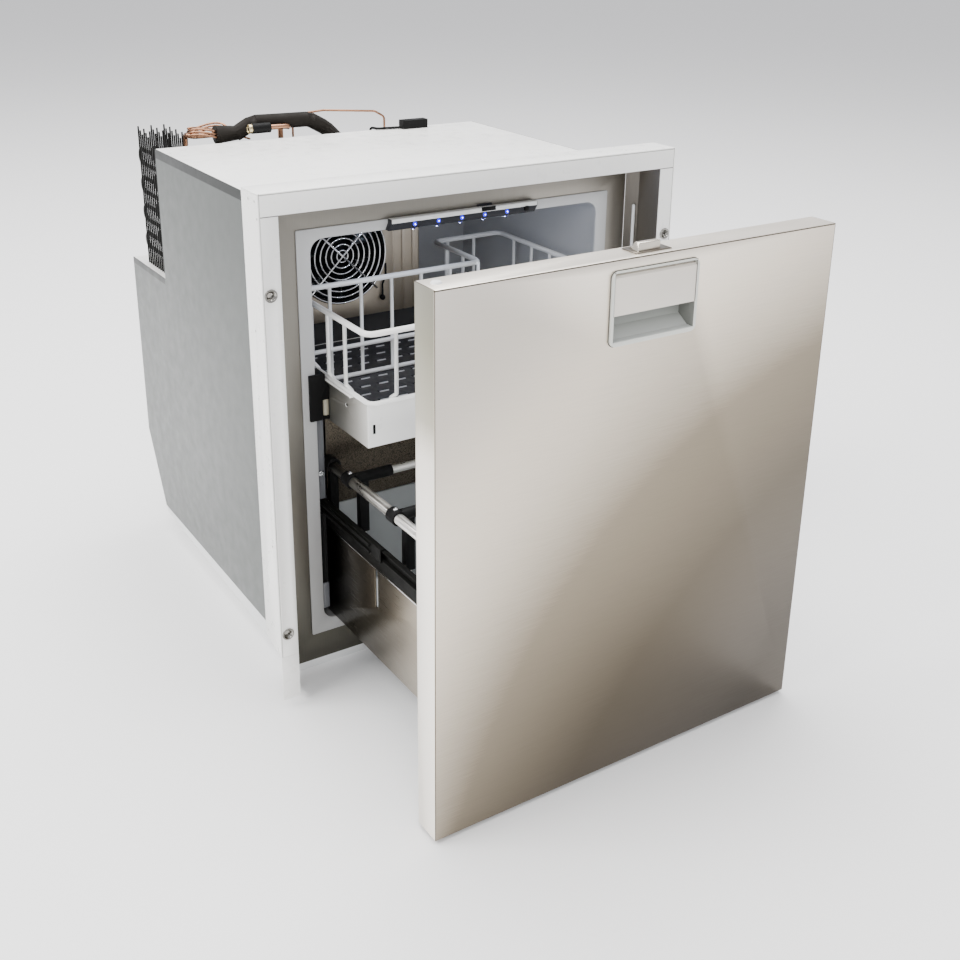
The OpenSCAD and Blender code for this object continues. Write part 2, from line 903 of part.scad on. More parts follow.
// The flap turns outward on two pins and its tail draws the bolt down.
module handle_flap() {
    color([0.72, 0.74, 0.75])
        difference() {
            union() {
                along_x([-flap_half, flap_half])
                    polygon([[front_y - 2, flap_low + 0.5], [front_y + 2, flap_low + 0.5],
                        [front_y + 2, hinge_z + 1], [front_y, hinge_z + 1],
                        [front_y - 2, hinge_z - 1]]);
                rod_x([-flap_half, flap_half], hinge_y, hinge_z, 2.6);
                slab([-flap_half + 6, flap_half - 6], [front_y + 1, front_y + 5],
                    [flap_low + 26, hinge_z]);
            }
            for (x = [-flap_half - 1, flap_half - 3.5])
                rod_x([x, x + 4.5], hinge_y, hinge_z, 1.2 + bore_gap);
        }
}

// A bevelled bolt that stands over the front's top edge.
module latch_bolt() {
    color(chrome_grey)
        difference() {
            slab([-bolt_half, bolt_half], [bolt_y, bolt_y + bolt_depth],
                [flap_low + 13, front_height + 8]);
            along_x([-bolt_half - 1, bolt_half + 1])
                polygon([[bolt_y + bolt_depth - 8, front_height + 9],
                    [bolt_y + bolt_depth + 1, front_height + 9],
                    [bolt_y + bolt_depth + 1, front_height - 1]]);
            slab([-6, 6], [bolt_y - 1, bolt_y + 4], [flap_low + 16, flap_low + 26]);
        }
}

module latch_plate() {
    color(chrome_grey)
        difference() {
            slab([-18, 22], [bolt_y - 4, front_y + 26], [front_height, front_height + 0.8]);
            slab([-bolt_half - run_gap, bolt_half + run_gap],
                [bolt_y - run_gap, bolt_y + bolt_depth + run_gap],
                [front_height - 1, front_height + 2]);
        }
}

module front_cap() {
    color(white_plastic)
        translate([-half_front + 12, front_y + 17, front_height])
            cylinder(r1 = 5, r2 = 4, h = 1.5);
}

module box_sides() {
    color(steel)
        both_sides()
            difference() {
            union() {
                slab([half_box - 1.5, half_box], [front_back, box_back], [box_low, box_high - 2]);
                rod_y(half_box - 2, [front_back, box_back], box_high - 2, 2);
            }
            slab([half_box - 5, half_box + 5], [-57, -51], [118, 162]);
        }
    color(steel)
        slab([-half_box + 4.5, half_box - 4.5], [box_back, box_back + 1.2],
            [box_low, tray_low - 3]);
}

// The plastic tub between the side plates, with a raised rear wall.
module box_tub() {
    wall_high = box_high - 32;
    color([0.8, 0.84, 0.88])
        difference() {
            slab([-half_box + 1.8, half_box - 1.8], [front_back + 0.3, box_back],
                [box_low, box_high + 3]);
            slab([-half_box + 4.3, half_box - 4.3], [front_back + 3, box_back - 2.5],
                [box_low + 2.5, box_high + 10]);
            slab([-half_box - 5, half_box + 5], [front_back - 5, box_back - 2.5],
                [wall_high, box_high + 10]);
            both_sides()
                slab([half_box - 4.5, half_box], [box_back - 10, box_back + 1],
                    [wall_high, box_high + 10]);
        }
}

// Chrome rails along both sides of the box.
module divider_rails() {
    color(chrome_grey)
        both_sides()
            rod_y(rail_x, [front_back + 2, box_back - 3], rail_z, rail_r);
}

// Sockets on the front's pan and posts on the tub's rear wall that carry the rails.
module rail_sockets() {
    color(black_plastic)
        both_sides() {
            difference() {
                rod_y(rail_x - 2, [front_back, front_back + 12], rail_z, rail_r + 3.5);
                rod_y(rail_x, [front_back + 2, front_back + 13], rail_z, rail_r);
            }
            difference() {
                union() {
                    rod_y(rail_x - 1, [box_back - 16, box_back], rail_z, rail_r + 2.5);
                    slab([rail_x - 9, rail_x + 0.5], [box_back - 8, box_back - 2.5],
                        [box_high - 20, rail_z - 4]);
                }
                rod_y(rail_x, [box_back - 17, box_back - 3], rail_z, rail_r);
            }
        }
}

// A cross bar that slides on the rails, with a wire hoop on each side that keeps the goods apart.
module divider(y) {
    hoop_low = box_low + 22;
    both_sides() {
        difference() {
            union() {
                rod_y(rail_x, [y - 7, y + 7], rail_z, rail_r + 2.2);
                rod_x([rail_x - 48, rail_x - rail_r - 0.6], y, rail_z, 6);
            }
            rod_y(rail_x, [y - 8, y + 8], rail_z, rail_r + bore_gap);
        }
        bent_rod([[rail_x - 14, y, rail_z], [rail_x - 14, y, hoop_low],
            [14, y, hoop_low], [14, y, rail_z]], 3, 18);
        slab([rail_x - 19, rail_x - 9], [y - 4.5, y + 4.5], [rail_z - 62, rail_z - 4]);
    }
    rod_x([-rail_x + 48, rail_x - 48], y, rail_z, 4.5);
}

module divider_front() {
    color(chrome_grey)
        divider(-88);
}

module divider_rear() {
    color(chrome_grey)
        divider(9);
}

module tray() {
    color(white_paint)
        union() {
            difference() {
                slab([-half_tray, half_tray], [tray_y, tray_end], [tray_low, tray_high]);
                slab([-half_tray + tray_sheet, half_tray - tray_sheet],
                    [tray_y + tray_sheet, tray_end - tray_sheet],
                    [tray_low + tray_sheet, tray_high + 1]);
                slab([-half_tray + 6, -half_tray + 9], [tray_y - 1, tray_y + 3],
                    [tray_low + 14, tray_low + 24]);
                rod_x([-half_tray - 1, -half_tray + 3], 8, tray_low + 31, 2);
            }
            for (x = [-120 : 60 : 120])
                slab([x - 1, x + 1], [tray_y + 1, tray_end - 1], [tray_low + 1, mat_top - 3.1]);
            both_sides()
                slab([half_tray - 1, half_tray + tray_lip], [-8, tray_end],
                    [tray_high - tray_sheet, tray_high]);
        }
}

// The dark mat on the tray's ribs, with staggered rows of slots.
module slotted_mat() {
    half = half_tray - tray_sheet - fit_gap;
    rows = floor((tray_length - 30) / 22);
    across = floor((2 * half - 20) / 22);
    color(rubber_grey)
        difference() {
            slab([-half, half], [tray_y + tray_sheet + fit_gap, tray_end - tray_sheet - fit_gap],
                [mat_top - 3, mat_top]);
            for (row = [0 : rows - 1], i = [0 : across - 1 - row % 2])
                translate([22 * (i - (across - 1) / 2) + 11 * (row % 2), tray_y + 18 + 22 * row, 0])
                    slab([-6.5, 6.5], [-3, 3], [mat_top - 4, mat_top + 1]);
        }
}

// The basket's outline: full width at the front, and cut back on the left to clear the cover.
function basket_loop(side, front, z) = [
    [-side, 60, z], [-side, front, z], [side, front, z], [side, basket_rear, z],
    [basket_notch_x, basket_rear, z], [basket_notch_x, basket_notch_y, z],
    [-side, basket_notch_y, z], [-side, 60, z]];

// A wire from the top ring over the middle ring, on the tray's edge, down to the lowest ring. It
// stands at out above the tray's wall and at in below its top, on the line through p along dir.
module basket_wire(p, dir, out, in) {
    bent_rod([[p[0] + dir[0] * out, p[1] + dir[1] * out, basket_high],
        [p[0] + dir[0] * out, p[1] + dir[1] * out, ring_z + 7],
        [p[0] + dir[0] * in, p[1] + dir[1] * in, ring_z - 1],
        [p[0] + dir[0] * in, p[1] + dir[1] * in, low_ring_z]], 2, 2.5, 0.1);
}

module wire_basket() {
    top_out = 3.5;
    upright_out = 2.6;
    ring_front = tray_y - 6;
    inside = half_tray - tray_sheet - fit_gap - 2;
    inside_front = tray_y + tray_sheet + fit_gap + 2;
    $fn = 12;
    color(white_paint)
        union() {
            bent_rod(basket_loop(half_tray + top_out, ring_front - 3, basket_high), 3, 10, 0.1);
            bent_rod(basket_loop(half_tray, ring_front, ring_z), 2.5, 8, 0.1);
            bent_rod(basket_loop(inside - 0.6, inside_front + 0.6, low_ring_z), 2.5, 8, 0.1);
            for (y = [2 : basket_pitch : basket_notch_y - 10])
                basket_wire([0, y], [-1, 0], half_tray + upright_out, inside);
            for (y = [2 : basket_pitch : basket_rear - 10])
                basket_wire([0, y], [1, 0], half_tray + upright_out, inside);
            for (x = [-134 : basket_pitch : half_tray - 10])
                basket_wire([x, 0], [0, -1], -ring_front + 2.2, -inside_front);
            for (x = [-123 : basket_pitch : basket_notch_x - 2])
                rod_z(x, basket_notch_y, [low_ring_z, basket_high], 2);
            for (x = [basket_notch_x + 20 : basket_pitch : half_tray - 5])
                rod_z(x, basket_rear, [low_ring_z, basket_high], 2);
            for (y = [basket_notch_y + basket_pitch : basket_pitch : basket_rear - 10])
                rod_z(basket_notch_x, y, [low_ring_z, basket_high], 2);
        }
}

// The upright roller that steers the tray.
module guide_roller() {
    color([0.9, 0.86, 0.72])
        difference() {
            rod_z(roller_x, guide_y, [tray_low + 7.5, tray_low + 25.5], roller_r);
            rod_z(roller_x, guide_y, [tray_low, tray_low + 40], 1.5 + bore_gap);
        }
}

// The roller under the tray's lip.
module support_roller() {
    color(white_plastic)
        difference() {
            rod_x([roller_x - 2.5, roller_x + 1.5], support_y, support_z, support_r);
            rod_x([roller_x - 5, roller_x + 5], support_y, support_z, 2 + bore_gap);
        }
}

module guide_roller_left() {
    on_side(-1)
        guide_roller();
}

module guide_roller_right() {
    guide_roller();
}

module support_roller_left() {
    on_side(-1)
        support_roller();
}

module support_roller_right() {
    support_roller();
}

// A hermetic shell on four rubber feet, with its terminal cover.
module compressor() {
    x = -36;
    y = upper_back + 60;
    shell_r = 52;
    shell_high = 118;
    color(black_plastic)
        union() {
            translate([x, y, step_z + 12])
                rotate_extrude()
                    intersection() {
                        union() {
                            square([shell_r - 24, shell_high]);
                            square([shell_r, shell_high - 24]);
                            translate([shell_r - 24, shell_high - 24])
                                circle(r = 24);
                            translate([0, 40])
                                square([shell_r + 2, 5]);
                        }
                        square([shell_r + 10, shell_high]);
                    }
            slab([x + 40, x + 78], [y - 22, y + 22], [step_z + 30, step_z + 76]);
            slab([x - 62, x + 62], [y - 48, y + 48], [step_z + 10, step_z + 13]);
            for (dx = [-54, 54], dy = [-40, 40])
                rod_z(x + dx, y + dy, [step_z, step_z + 16], 7);
        }
}

// Three columns of tube in bends, with upright wires welded across them.
module condenser() {
    low = step_z + 20;
    rows = 8;
    pitch = 17.5;
    y0 = upper_back + 14;
    y1 = upper_back + 92;
    color(black_plastic)
        for (x = [-half_body + 12, -half_body + 28, -half_body + 44])
            union() {
                bent_rod([for (i = [0 : rows - 1], k = [0, 1])
                    [x, (i + k) % 2 == 0 ? y0 : y1, low + i * pitch]], 2.4, 8);
                for (y = [y0 + 6 : 7 : y1 - 4])
                    slab([x - 3.8, x - 2.2], [y - 0.8, y + 0.8],
                        [step_z, low + (rows - 1) * pitch + 20 + (y % 3) * 4]);
            }
}

module condenser_fan_place() {
    translate([-half_body + 58, upper_back + 60, step_z + 55.5])
        rotate([0, 0, -90])
            children();
}

module condenser_fan_housing() {
    color(black_plastic)
        condenser_fan_place()
            fan_frame(condenser_fan_size, condenser_fan_depth);
}

module condenser_fan_rotor() {
    color(black_plastic)
        condenser_fan_place()
            fan_blades(condenser_fan_size, condenser_fan_depth);
}

// The suction pipe in its black foam sleeve, with the clamp at its end.
module suction_pipe() {
    $fn = 12;
    y = upper_back + 25;
    z = body_top + 14;
    color(black_plastic)
        union() {
            bent_rod([[-108, y, z - 9], [-86, y, z + 3], [-10, y, z + 2], [12, y, z - 10],
                [34, y - 7, z - 34], [38, y - 8, step_z + 0.35]], foam_dia / 2, 14, 0.2);
            translate([-134, y, z - 8])
                rotate([0, 90, 0])
                    cylinder(r1 = foam_dia / 2 + 2, r2 = foam_dia / 2 - 1, h = 29);
        }
}

// Bare copper pipes, the thin capillary and the sealed service tube.
module copper_pipes() {
    $fn = 12;
    z = body_top + 14;
    color(copper)
        bent_rod([[-134.3, upper_back + 25, z - 8], [-164, upper_back + 25, z - 8],
            [-164, upper_back + 47, z - 8], [-164, upper_back + 47, z - 28],
            [-171.6, upper_back + 47, z - 28]], 3.2, 7, 0.1);
    color(copper)
        bent_rod([[96, upper_back + 22, step_z], [96, upper_back + 22, body_top + 12],
            [82, upper_back + 22, body_top + 20], [18, upper_back + 40, body_top + 23],
            [-20, upper_back + 52, body_top + 18], [-20, upper_back + 52, step_z + 130]], 1.4, 6, 0.1);
    color(copper)
        bent_rod([[-91, upper_back + 50, body_top + 12], [-38, upper_back + 50, body_top + 12],
            [-38, upper_back + 50, step_z + 130]], 3.4, 9, 0.1);
}

// A plug and its short lead, lying on the top sheet's rear edge.
module plug_connector() {
    $fn = 12;
    color(black_plastic)
        union() {
            slab([104, 140], [upper_back - 15, upper_back - 3], [body_top, body_top + 11]);
            bent_rod([[105, upper_back - 9, body_top + 2], [72, upper_back - 5, body_top + 2],
                [68, upper_back + 8, body_top + 2], [68, upper_back + 8, step_z]], 1.6, 4, 0.1);
        }
}

// The control electronics, in a closed box on the lower rear cover.
module electronics_box() {
    left = -half_body + 128;
    right = half_body - 158;
    low = step_z - 180;
    color(black_plastic)
        difference() {
            slab([left, right], [upper_back + 25, lower_back - skin], [low, low + electronics_height]);
            for (z = [low + 10 : 12 : low + electronics_height - 12])
                slab([left + 10, right - 10], [upper_back + 24, upper_back + 30], [z, z + 6]);
        }
}

placed() {
    side_skin_left();
    side_skin_right();
    top_skin();
    notch_skin();
    rear_lower_cover();
    base_pan();
    cabinet_foam();
    liner();
    face_frame();
    recess_frame();
    trim_frame();
    screw_cups();
    side_buffers();
    rail_brackets();
    runner_blocks();
    support_ledges();
    guide_pads();
    light_bar();
    led_lenses();
    control_button();
    evaporator_cover();
    fan_guard();
    evaporator_fan_housing();
    evaporator_fan_rotor();
    temperature_probe();
    evaporator();
    slides_fixed();
    slide_middle_left();
    slide_middle_right();
    slides_drawer();
    front_skin();
    front_foam();
    inner_pan();
    gasket();
    handle_bezel();
    handle_flap();
    latch_bolt();
    latch_plate();
    front_cap();
    box_sides();
    box_tub();
    divider_rails();
    rail_sockets();
    divider_front();
    divider_rear();
    tray();
    slotted_mat();
    wire_basket();
    guide_roller_left();
    guide_roller_right();
    support_roller_left();
    support_roller_right();
    compressor();
    condenser();
    condenser_fan_housing();
    condenser_fan_rotor();
    suction_pipe();
    copper_pipes();
    plug_connector();
    electronics_box();
}
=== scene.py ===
"""Dresses the drawer freezer's CAD pieces and lights them as in a studio."""
import json
import math

import bpy
from mathutils import Matrix, Vector

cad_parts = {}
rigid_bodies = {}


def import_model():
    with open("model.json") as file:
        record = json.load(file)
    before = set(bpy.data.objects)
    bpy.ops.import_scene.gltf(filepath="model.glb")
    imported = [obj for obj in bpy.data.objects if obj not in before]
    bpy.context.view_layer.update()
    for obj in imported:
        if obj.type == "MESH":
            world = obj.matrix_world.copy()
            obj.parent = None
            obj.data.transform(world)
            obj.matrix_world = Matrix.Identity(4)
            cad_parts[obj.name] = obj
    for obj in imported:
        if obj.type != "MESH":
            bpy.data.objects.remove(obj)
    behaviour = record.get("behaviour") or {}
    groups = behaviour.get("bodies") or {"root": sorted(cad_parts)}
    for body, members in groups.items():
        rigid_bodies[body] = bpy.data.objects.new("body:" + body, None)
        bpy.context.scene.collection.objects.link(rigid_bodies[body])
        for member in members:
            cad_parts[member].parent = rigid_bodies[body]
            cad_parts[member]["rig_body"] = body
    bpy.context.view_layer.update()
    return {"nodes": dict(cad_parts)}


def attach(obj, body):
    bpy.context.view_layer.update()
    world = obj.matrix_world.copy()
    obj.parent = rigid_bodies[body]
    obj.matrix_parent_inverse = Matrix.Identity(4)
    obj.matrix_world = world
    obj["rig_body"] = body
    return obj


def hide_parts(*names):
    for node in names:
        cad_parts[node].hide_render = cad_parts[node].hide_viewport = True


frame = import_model()
bpy.ops.object.select_all(action="DESELECT")

MM = 0.001
SIDES = ((-1, "left"), (1, "right"))
ALONG_Y = (math.pi / 2, 0, 0)
ALONG_X = (0, math.pi / 2, 0)

# Angles between two faces, in degrees. Above the smooth angles an edge stays sharp in shading, above
# the rounded angle it is rounded, and up to the flat angle the faces are joined.
SMOOTH_ANGLE = 35
PIPE_SMOOTH_ANGLE = 50
ROUNDED_ANGLE = 30
FLAT_ANGLE = 1

# Camera, as fitted to the photograph, in the part's frame and in pixels of the photograph.
CAMERA_AT = (-0.6829, -1.2970, 0.8006)
CAMERA_TURN = (69.134, -1.052, -33.693)
FOCAL_PIXELS = 1239.8
IMAGE_PIXELS = 960
CENTRE_PIXEL = (505, 380)

# The drawer front's sheet: its lower and upper edge and half its width, in metres.
FRONT_LOW, FRONT_HIGH, FRONT_HALF = 0.004, 0.527, 0.221
FRONT_MIDDLE = (FRONT_LOW + FRONT_HIGH) / 2


# Camera, floor and light

def make_camera():
    data = bpy.data.cameras.new("camera")
    data.sensor_width = 36
    data.lens = FOCAL_PIXELS / IMAGE_PIXELS * data.sensor_width
    data.shift_x = (IMAGE_PIXELS / 2 - CENTRE_PIXEL[0]) / IMAGE_PIXELS
    data.shift_y = (CENTRE_PIXEL[1] - IMAGE_PIXELS / 2) / IMAGE_PIXELS
    data.clip_start = 0.05
    data.clip_end = 60
    camera = bpy.data.objects.new("camera", data)
    bpy.context.scene.collection.objects.link(camera)
    camera.location = CAMERA_AT
    camera.rotation_euler = [math.radians(angle) for angle in CAMERA_TURN]
    bpy.context.scene.camera = camera


def area_light(name, place, target, size, power, colour=(1, 1, 1)):
    """A soft rectangular lamp that faces its target."""
    data = bpy.data.lights.new(name, "AREA")
    data.shape = "RECTANGLE"
    data.size, data.size_y = size
    data.energy = power
    data.color = colour
    light = bpy.data.objects.new(name, data)
    bpy.context.scene.collection.objects.link(light)
    light.location = place
    light.rotation_euler = (Vector(target) - Vector(place)).to_track_quat("-Z", "Y").to_euler()


def make_studio():
    world = bpy.data.worlds.new("studio")
    world.use_nodes = True
    background = world.node_tree.nodes["Background"]
    background.inputs["Color"].default_value = (0.97, 0.97, 1, 1)
    background.inputs["Strength"].default_value = 0.95
    bpy.context.scene.world = world
    area_light("key", (-2.6, 0.2, 3.0), (0, -0.1, 0.3), (2.4, 1.8), 150, (1, 0.985, 0.96))
    area_light("front", (-1.6, -3.0, 2.4), (0, -0.2, 0.3), (1.8, 1.4), 52)
    area_light("top", (0.4, 0.5, 3.2), (0, 0, 0), (2.8, 2.8), 190)
    bpy.ops.mesh.primitive_plane_add(size=30, location=(0, 0, 0))
    floor = bpy.context.object
    floor.name = "studio_floor"
    floor.data.materials.append(new_material("floor_paper", (0.93, 0.93, 0.93), 0.95)[0])
    floor.select_set(False)


# What the materials are made of

def new_material(name, colour, roughness, metallic=0.0):
    """A material and its shader."""
    material = bpy.data.materials.new(name)
    material.use_nodes = True
    shader = material.node_tree.nodes["Principled BSDF"]
    shader.inputs["Base Color"].default_value = (*colour, 1)
    shader.inputs["Roughness"].default_value = roughness
    shader.inputs["Metallic"].default_value = metallic
    return material, shader


def node(material, kind, **settings):
    """A new node, with its inputs and settings by name."""
    made = material.node_tree.nodes.new(kind)
    for key, value in settings.items():
        if key in made.inputs:
            made.inputs[key].default_value = value
        else:
            setattr(made, key, value)
    return made


def link(material, a, b):
    material.node_tree.links.new(a, b)


def noise(material, scale, stretch=(1, 1, 1), detail=3.0):
    """Noise on Object coordinates, with scale in waves per metre and stretch per axis."""
    place = node(material, "ShaderNodeTexCoord")
    mapping = node(material, "ShaderNodeMapping")
    mapping.inputs["Scale"].default_value = stretch
    texture = node(material, "ShaderNodeTexNoise", Scale=scale, Detail=detail)
    link(material, place.outputs["Object"], mapping.inputs["Vector"])
    link(material, mapping.outputs["Vector"], texture.inputs["Vector"])
    return texture.outputs["Fac"]


def place_along(material, axis):
    """The place along one axis, in metres, over the whole object."""
    place = node(material, "ShaderNodeTexCoord")
    split = node(material, "ShaderNodeSeparateXYZ")
    link(material, place.outputs["Object"], split.inputs[0])
    return split.outputs[axis]


def spread(material, value, low, high, from_low=0.3, from_high=0.7):
    """A value's range mapped to another range."""
    made = node(material, "ShaderNodeMapRange")
    made.inputs["From Min"].default_value = from_low
    made.inputs["From Max"].default_value = from_high
    made.inputs["To Min"].default_value = low
    made.inputs["To Max"].default_value = high
    link(material, value, made.inputs["Value"])
    return made.outputs["Result"]


def combined(material, operation, a, b):
    """Two values, each a number or another node's result, put together."""
    made = node(material, "ShaderNodeMath", operation=operation)
    for socket, value in zip(made.inputs, (a, b)):
        if isinstance(value, float):
            socket.default_value = value
        else:
            link(material, value, socket)
    return made.outputs[0]


def tint(material, value, first, second):
    """Two colours, each a colour or another node's result, mixed by a value."""
    made = node(material, "ShaderNodeMix", data_type="RGBA")
    for socket, colour in ((made.inputs["A"], first), (made.inputs["B"], second)):
        if isinstance(colour, tuple):
            socket.default_value = (*colour, 1)
        else:
            link(material, colour, socket)
    link(material, value, made.inputs["Factor"])
    return made.outputs["Result"]


def toned(material, value, tones):
    """A colour picked by value from a row of tones, each with its place from 0 to 1."""
    ramp = node(material, "ShaderNodeValToRGB")
    row = ramp.color_ramp.elements
    while len(row) < len(tones):
        row.new(0.5)
    for stop, (place, colour) in zip(row, tones):
        stop.position = place
        stop.color = (*colour, 1)
    link(material, value, ramp.inputs["Fac"])
    return ramp.outputs["Color"]


def uneven_colour(material, shader, value, colour, amount):
    """The colour a little darker and lighter by a value."""
    darker = tuple(part * (1 - amount) for part in colour)
    lighter = tuple(min(1, part * (1 + amount)) for part in colour)
    link(material, tint(material, spread(material, value, 0, 1), darker, lighter),
         shader.inputs["Base Color"])


def uneven_gloss(material, shader, value, low, high):
    link(material, spread(material, value, low, high), shader.inputs["Roughness"])


def bump(material, shader, value, strength, distance):
    made = node(material, "ShaderNodeBump", Strength=strength, Distance=distance)
    link(material, value, made.inputs["Height"])
    link(material, made.outputs["Normal"], shader.inputs["Normal"])


# The finishes that several pieces share

def painted(name, colour, roughness):
    """Sprayed enamel: a faint orange peel and a little unevenness of colour and gloss."""
    material, shader = new_material(name, colour, roughness)
    uneven_colour(material, shader, noise(material, 9, detail=4), colour, 0.03)
    uneven_gloss(material, shader, noise(material, 60), roughness - 0.05, roughness + 0.06)
    bump(material, shader, noise(material, 900, detail=1), 0.06, 0.00015)
    return material


def moulded(name, colour, roughness, grain=1600, unevenness=1.0):
    """Moulded plastic or rubber with a fine spark-eroded grain, in waves per metre."""
    material, shader = new_material(name, colour, roughness)
    uneven_colour(material, shader, noise(material, 14), colour, 0.04 * unevenness)
    uneven_gloss(material, shader, noise(material, 120), roughness - 0.06 * unevenness,
                 roughness + 0.07 * unevenness)
    bump(material, shader, noise(material, grain, detail=1), 0.12 * unevenness, 0.0001)
    return material


def brushed(name, colour, roughness, stretch, depth):
    """Brushed steel: long fine streaks along the axis that stretch holds back."""
    material, shader = new_material(name, colour, roughness, 1.0)
    streaks = noise(material, 30, stretch, detail=6)
    uneven_colour(material, shader, streaks, colour, 0.06)
    uneven_gloss(material, shader, streaks, roughness - 0.05, roughness + 0.07)
    bump(material, shader, streaks, depth, 0.00004)
    return material


def polished(name, colour, roughness):
    """Chrome or bare metal with faint handling marks."""
    material, shader = new_material(name, colour, roughness, 1.0)
    uneven_gloss(material, shader, noise(material, 70, detail=6), roughness * 0.7, roughness * 1.8)
    uneven_colour(material, shader, noise(material, 25), colour, 0.05)
    return material


def glowing(name, colour, strength):
    """A lit lens of the light bar."""
    material, shader = new_material(name, colour, 0.2)
    shader.inputs["Emission Color"].default_value = (*colour, 1)
    link(material, spread(material, noise(material, 400), strength * 0.9, strength * 1.1),
         shader.inputs["Emission Strength"])
    return material


# The sheets that have a finish of their own, three of them with painted reflection and shade in their
# tones. Tones are colours with their place from 0 to 1.

# Painted reflection on the drawer's front, from light at the upper left to dark at the lower right.
FRONT_TONES = ((0, (1.0, 0.93, 0.83)), (0.15, (0.78, 0.7, 0.59)), (0.4, (0.235, 0.2, 0.15)),
               (0.7, (0.112, 0.093, 0.067)), (1, (0.1, 0.083, 0.062)))
# Painted reflection and shade on the front's side folds, light below and darker above.
FOLD_TONES = ((0, (1.0, 0.95, 0.87)), (0.35, (0.85, 0.8, 0.72)), (0.5, (0.44, 0.415, 0.34)),
              (0.8, (0.36, 0.345, 0.27)), (1, (0.4, 0.385, 0.32)))
# Painted reflection and shade on the drawer's sides: light at the front, near black towards the rear.
BOX_TONES = ((0, (0.85, 0.78, 0.66)), (0.25, (0.4, 0.35, 0.28)), (0.6, (0.16, 0.135, 0.1)),
             (0.9, (0.03, 0.025, 0.02)), (0.975, (0.03, 0.025, 0.02)), (0.98, (0.13, 0.11, 0.085)))

# The dark lines along the front sheet's edges: axis, place and half width, and how softly they end.
EDGE_LINES = (("Z", 0.5261, 0.0004), ("X", -0.2205, 0.0002), ("X", 0.2205, 0.0002))
EDGE_SOFTNESS = 0.0002
EDGE_DARKNESS = 0.9
# Above this height the front's upper face takes the painted reflection's lightest tone.
UPPER_FACE = (0.5269, 0.52695)

# The side sheets' darker bands: below the top edge, and below the step's edge behind its corner.
TOP_BAND = (0.5203, 0.5208)
STEP_BAND = (0.3665, 0.367)
STEP_CORNER = (0.1265, 0.127)
BAND_TONE = 0.27


def streaked(material, shader, tone, streaks, amount, tones, gloss):
    """A sheet's colour by its tone, broken up by its streaks, and its gloss by the streaks alone."""
    tone = combined(material, "ADD", tone, spread(material, streaks, -amount, amount))
    link(material, toned(material, tone, tones), shader.inputs["Base Color"])
    uneven_gloss(material, shader, streaks, *gloss)


def front_sheet(name):
    """Fine brushed steel with a painted reflection: its tone falls from the upper left to the lower
    right.
    """
    material, shader = new_material(name, (0.4, 0.37, 0.33), 0.36, 1.0)
    down = spread(material, place_along(material, "Z"), 1, 0, FRONT_LOW, FRONT_HIGH)
    across = spread(material, place_along(material, "X"), 0, 1, -FRONT_HALF, FRONT_HALF)
    slope = combined(material, "MULTIPLY", down, spread(material, across, 0.35, 1.25, 0, 1))
    tone = combined(material, "ADD", slope, combined(material, "MULTIPLY", across, 0.12))
    upper = spread(material, place_along(material, "Z"), 0, 1, *UPPER_FACE)
    tone = combined(material, "MULTIPLY", tone, combined(material, "SUBTRACT", 1.0, upper))
    for axis, edge, half in EDGE_LINES:
        off = combined(material, "ABSOLUTE",
                       combined(material, "SUBTRACT", place_along(material, axis), edge), 0.0)
        tone = combined(material, "ADD", tone,
                        spread(material, off, EDGE_DARKNESS, 0, half, half + EDGE_SOFTNESS))
    streaks = noise(material, 40, (1, 90, 90), detail=5)
    streaked(material, shader, tone, streaks, 0.012, FRONT_TONES, (0.33, 0.4))
    bump(material, shader, streaks, 0.04, 0.00002)
    return material


def front_fold_sheet(name):
    """The steel of the front's side folds, with painted reflection and shade: darker towards the top.
    """
    material, shader = new_material(name, (0.9, 0.85, 0.78), 0.36, 1.0)
    up = spread(material, place_along(material, "Z"), 0, 1, 0.3, FRONT_HIGH)
    streaks = noise(material, 40, (90, 90, 1), detail=5)
    streaked(material, shader, up, streaks, 0.01, FOLD_TONES, (0.33, 0.4))
    return material


def drawer_side_sheet(name):
    """Satin steel with painted reflection and shade: it darkens from the drawer's front to its rear."""
    material, shader = new_material(name, (0.4, 0.37, 0.33), 0.3, 1.0)
    back = spread(material, place_along(material, "Y"), 0, 1, -0.48, -0.18)
    streaks = noise(material, 30, (60, 1, 60), detail=6)
    streaked(material, shader, back, streaks, 0.02, BOX_TONES, (0.26, 0.36))
    return material


def side_sheet(name, colour):
    """Coated steel with a darker band along its upper edge and along the step's."""
    material = painted(name, colour, 0.42)
    shader = material.node_tree.nodes["Principled BSDF"]
    coating = shader.inputs["Base Color"].links[0].from_socket
    top = spread(material, place_along(material, "Z"), 0, 1, *TOP_BAND)
    step = combined(material, "MULTIPLY",
                    spread(material, place_along(material, "Z"), 0, 1, *STEP_BAND),
                    spread(material, place_along(material, "Y"), 0, 1, *STEP_CORNER))
    band = combined(material, "MAXIMUM", top, step)
    link(material, tint(material, band, coating, tuple(part * BAND_TONE for part in colour)),
         shader.inputs["Base Color"])
    return material


# Finishes: name, colour, roughness or strength, and what else the kind of finish takes

PAINTS = (
    ("white_enamel", (0.93, 0.925, 0.9), 0.3),
    ("basket_coating", (0.88, 0.88, 0.86), 0.38),
    ("black_enamel", (0.004, 0.004, 0.0035), 0.5),
    ("tray_side", (0.5, 0.49, 0.46), 0.35),
)

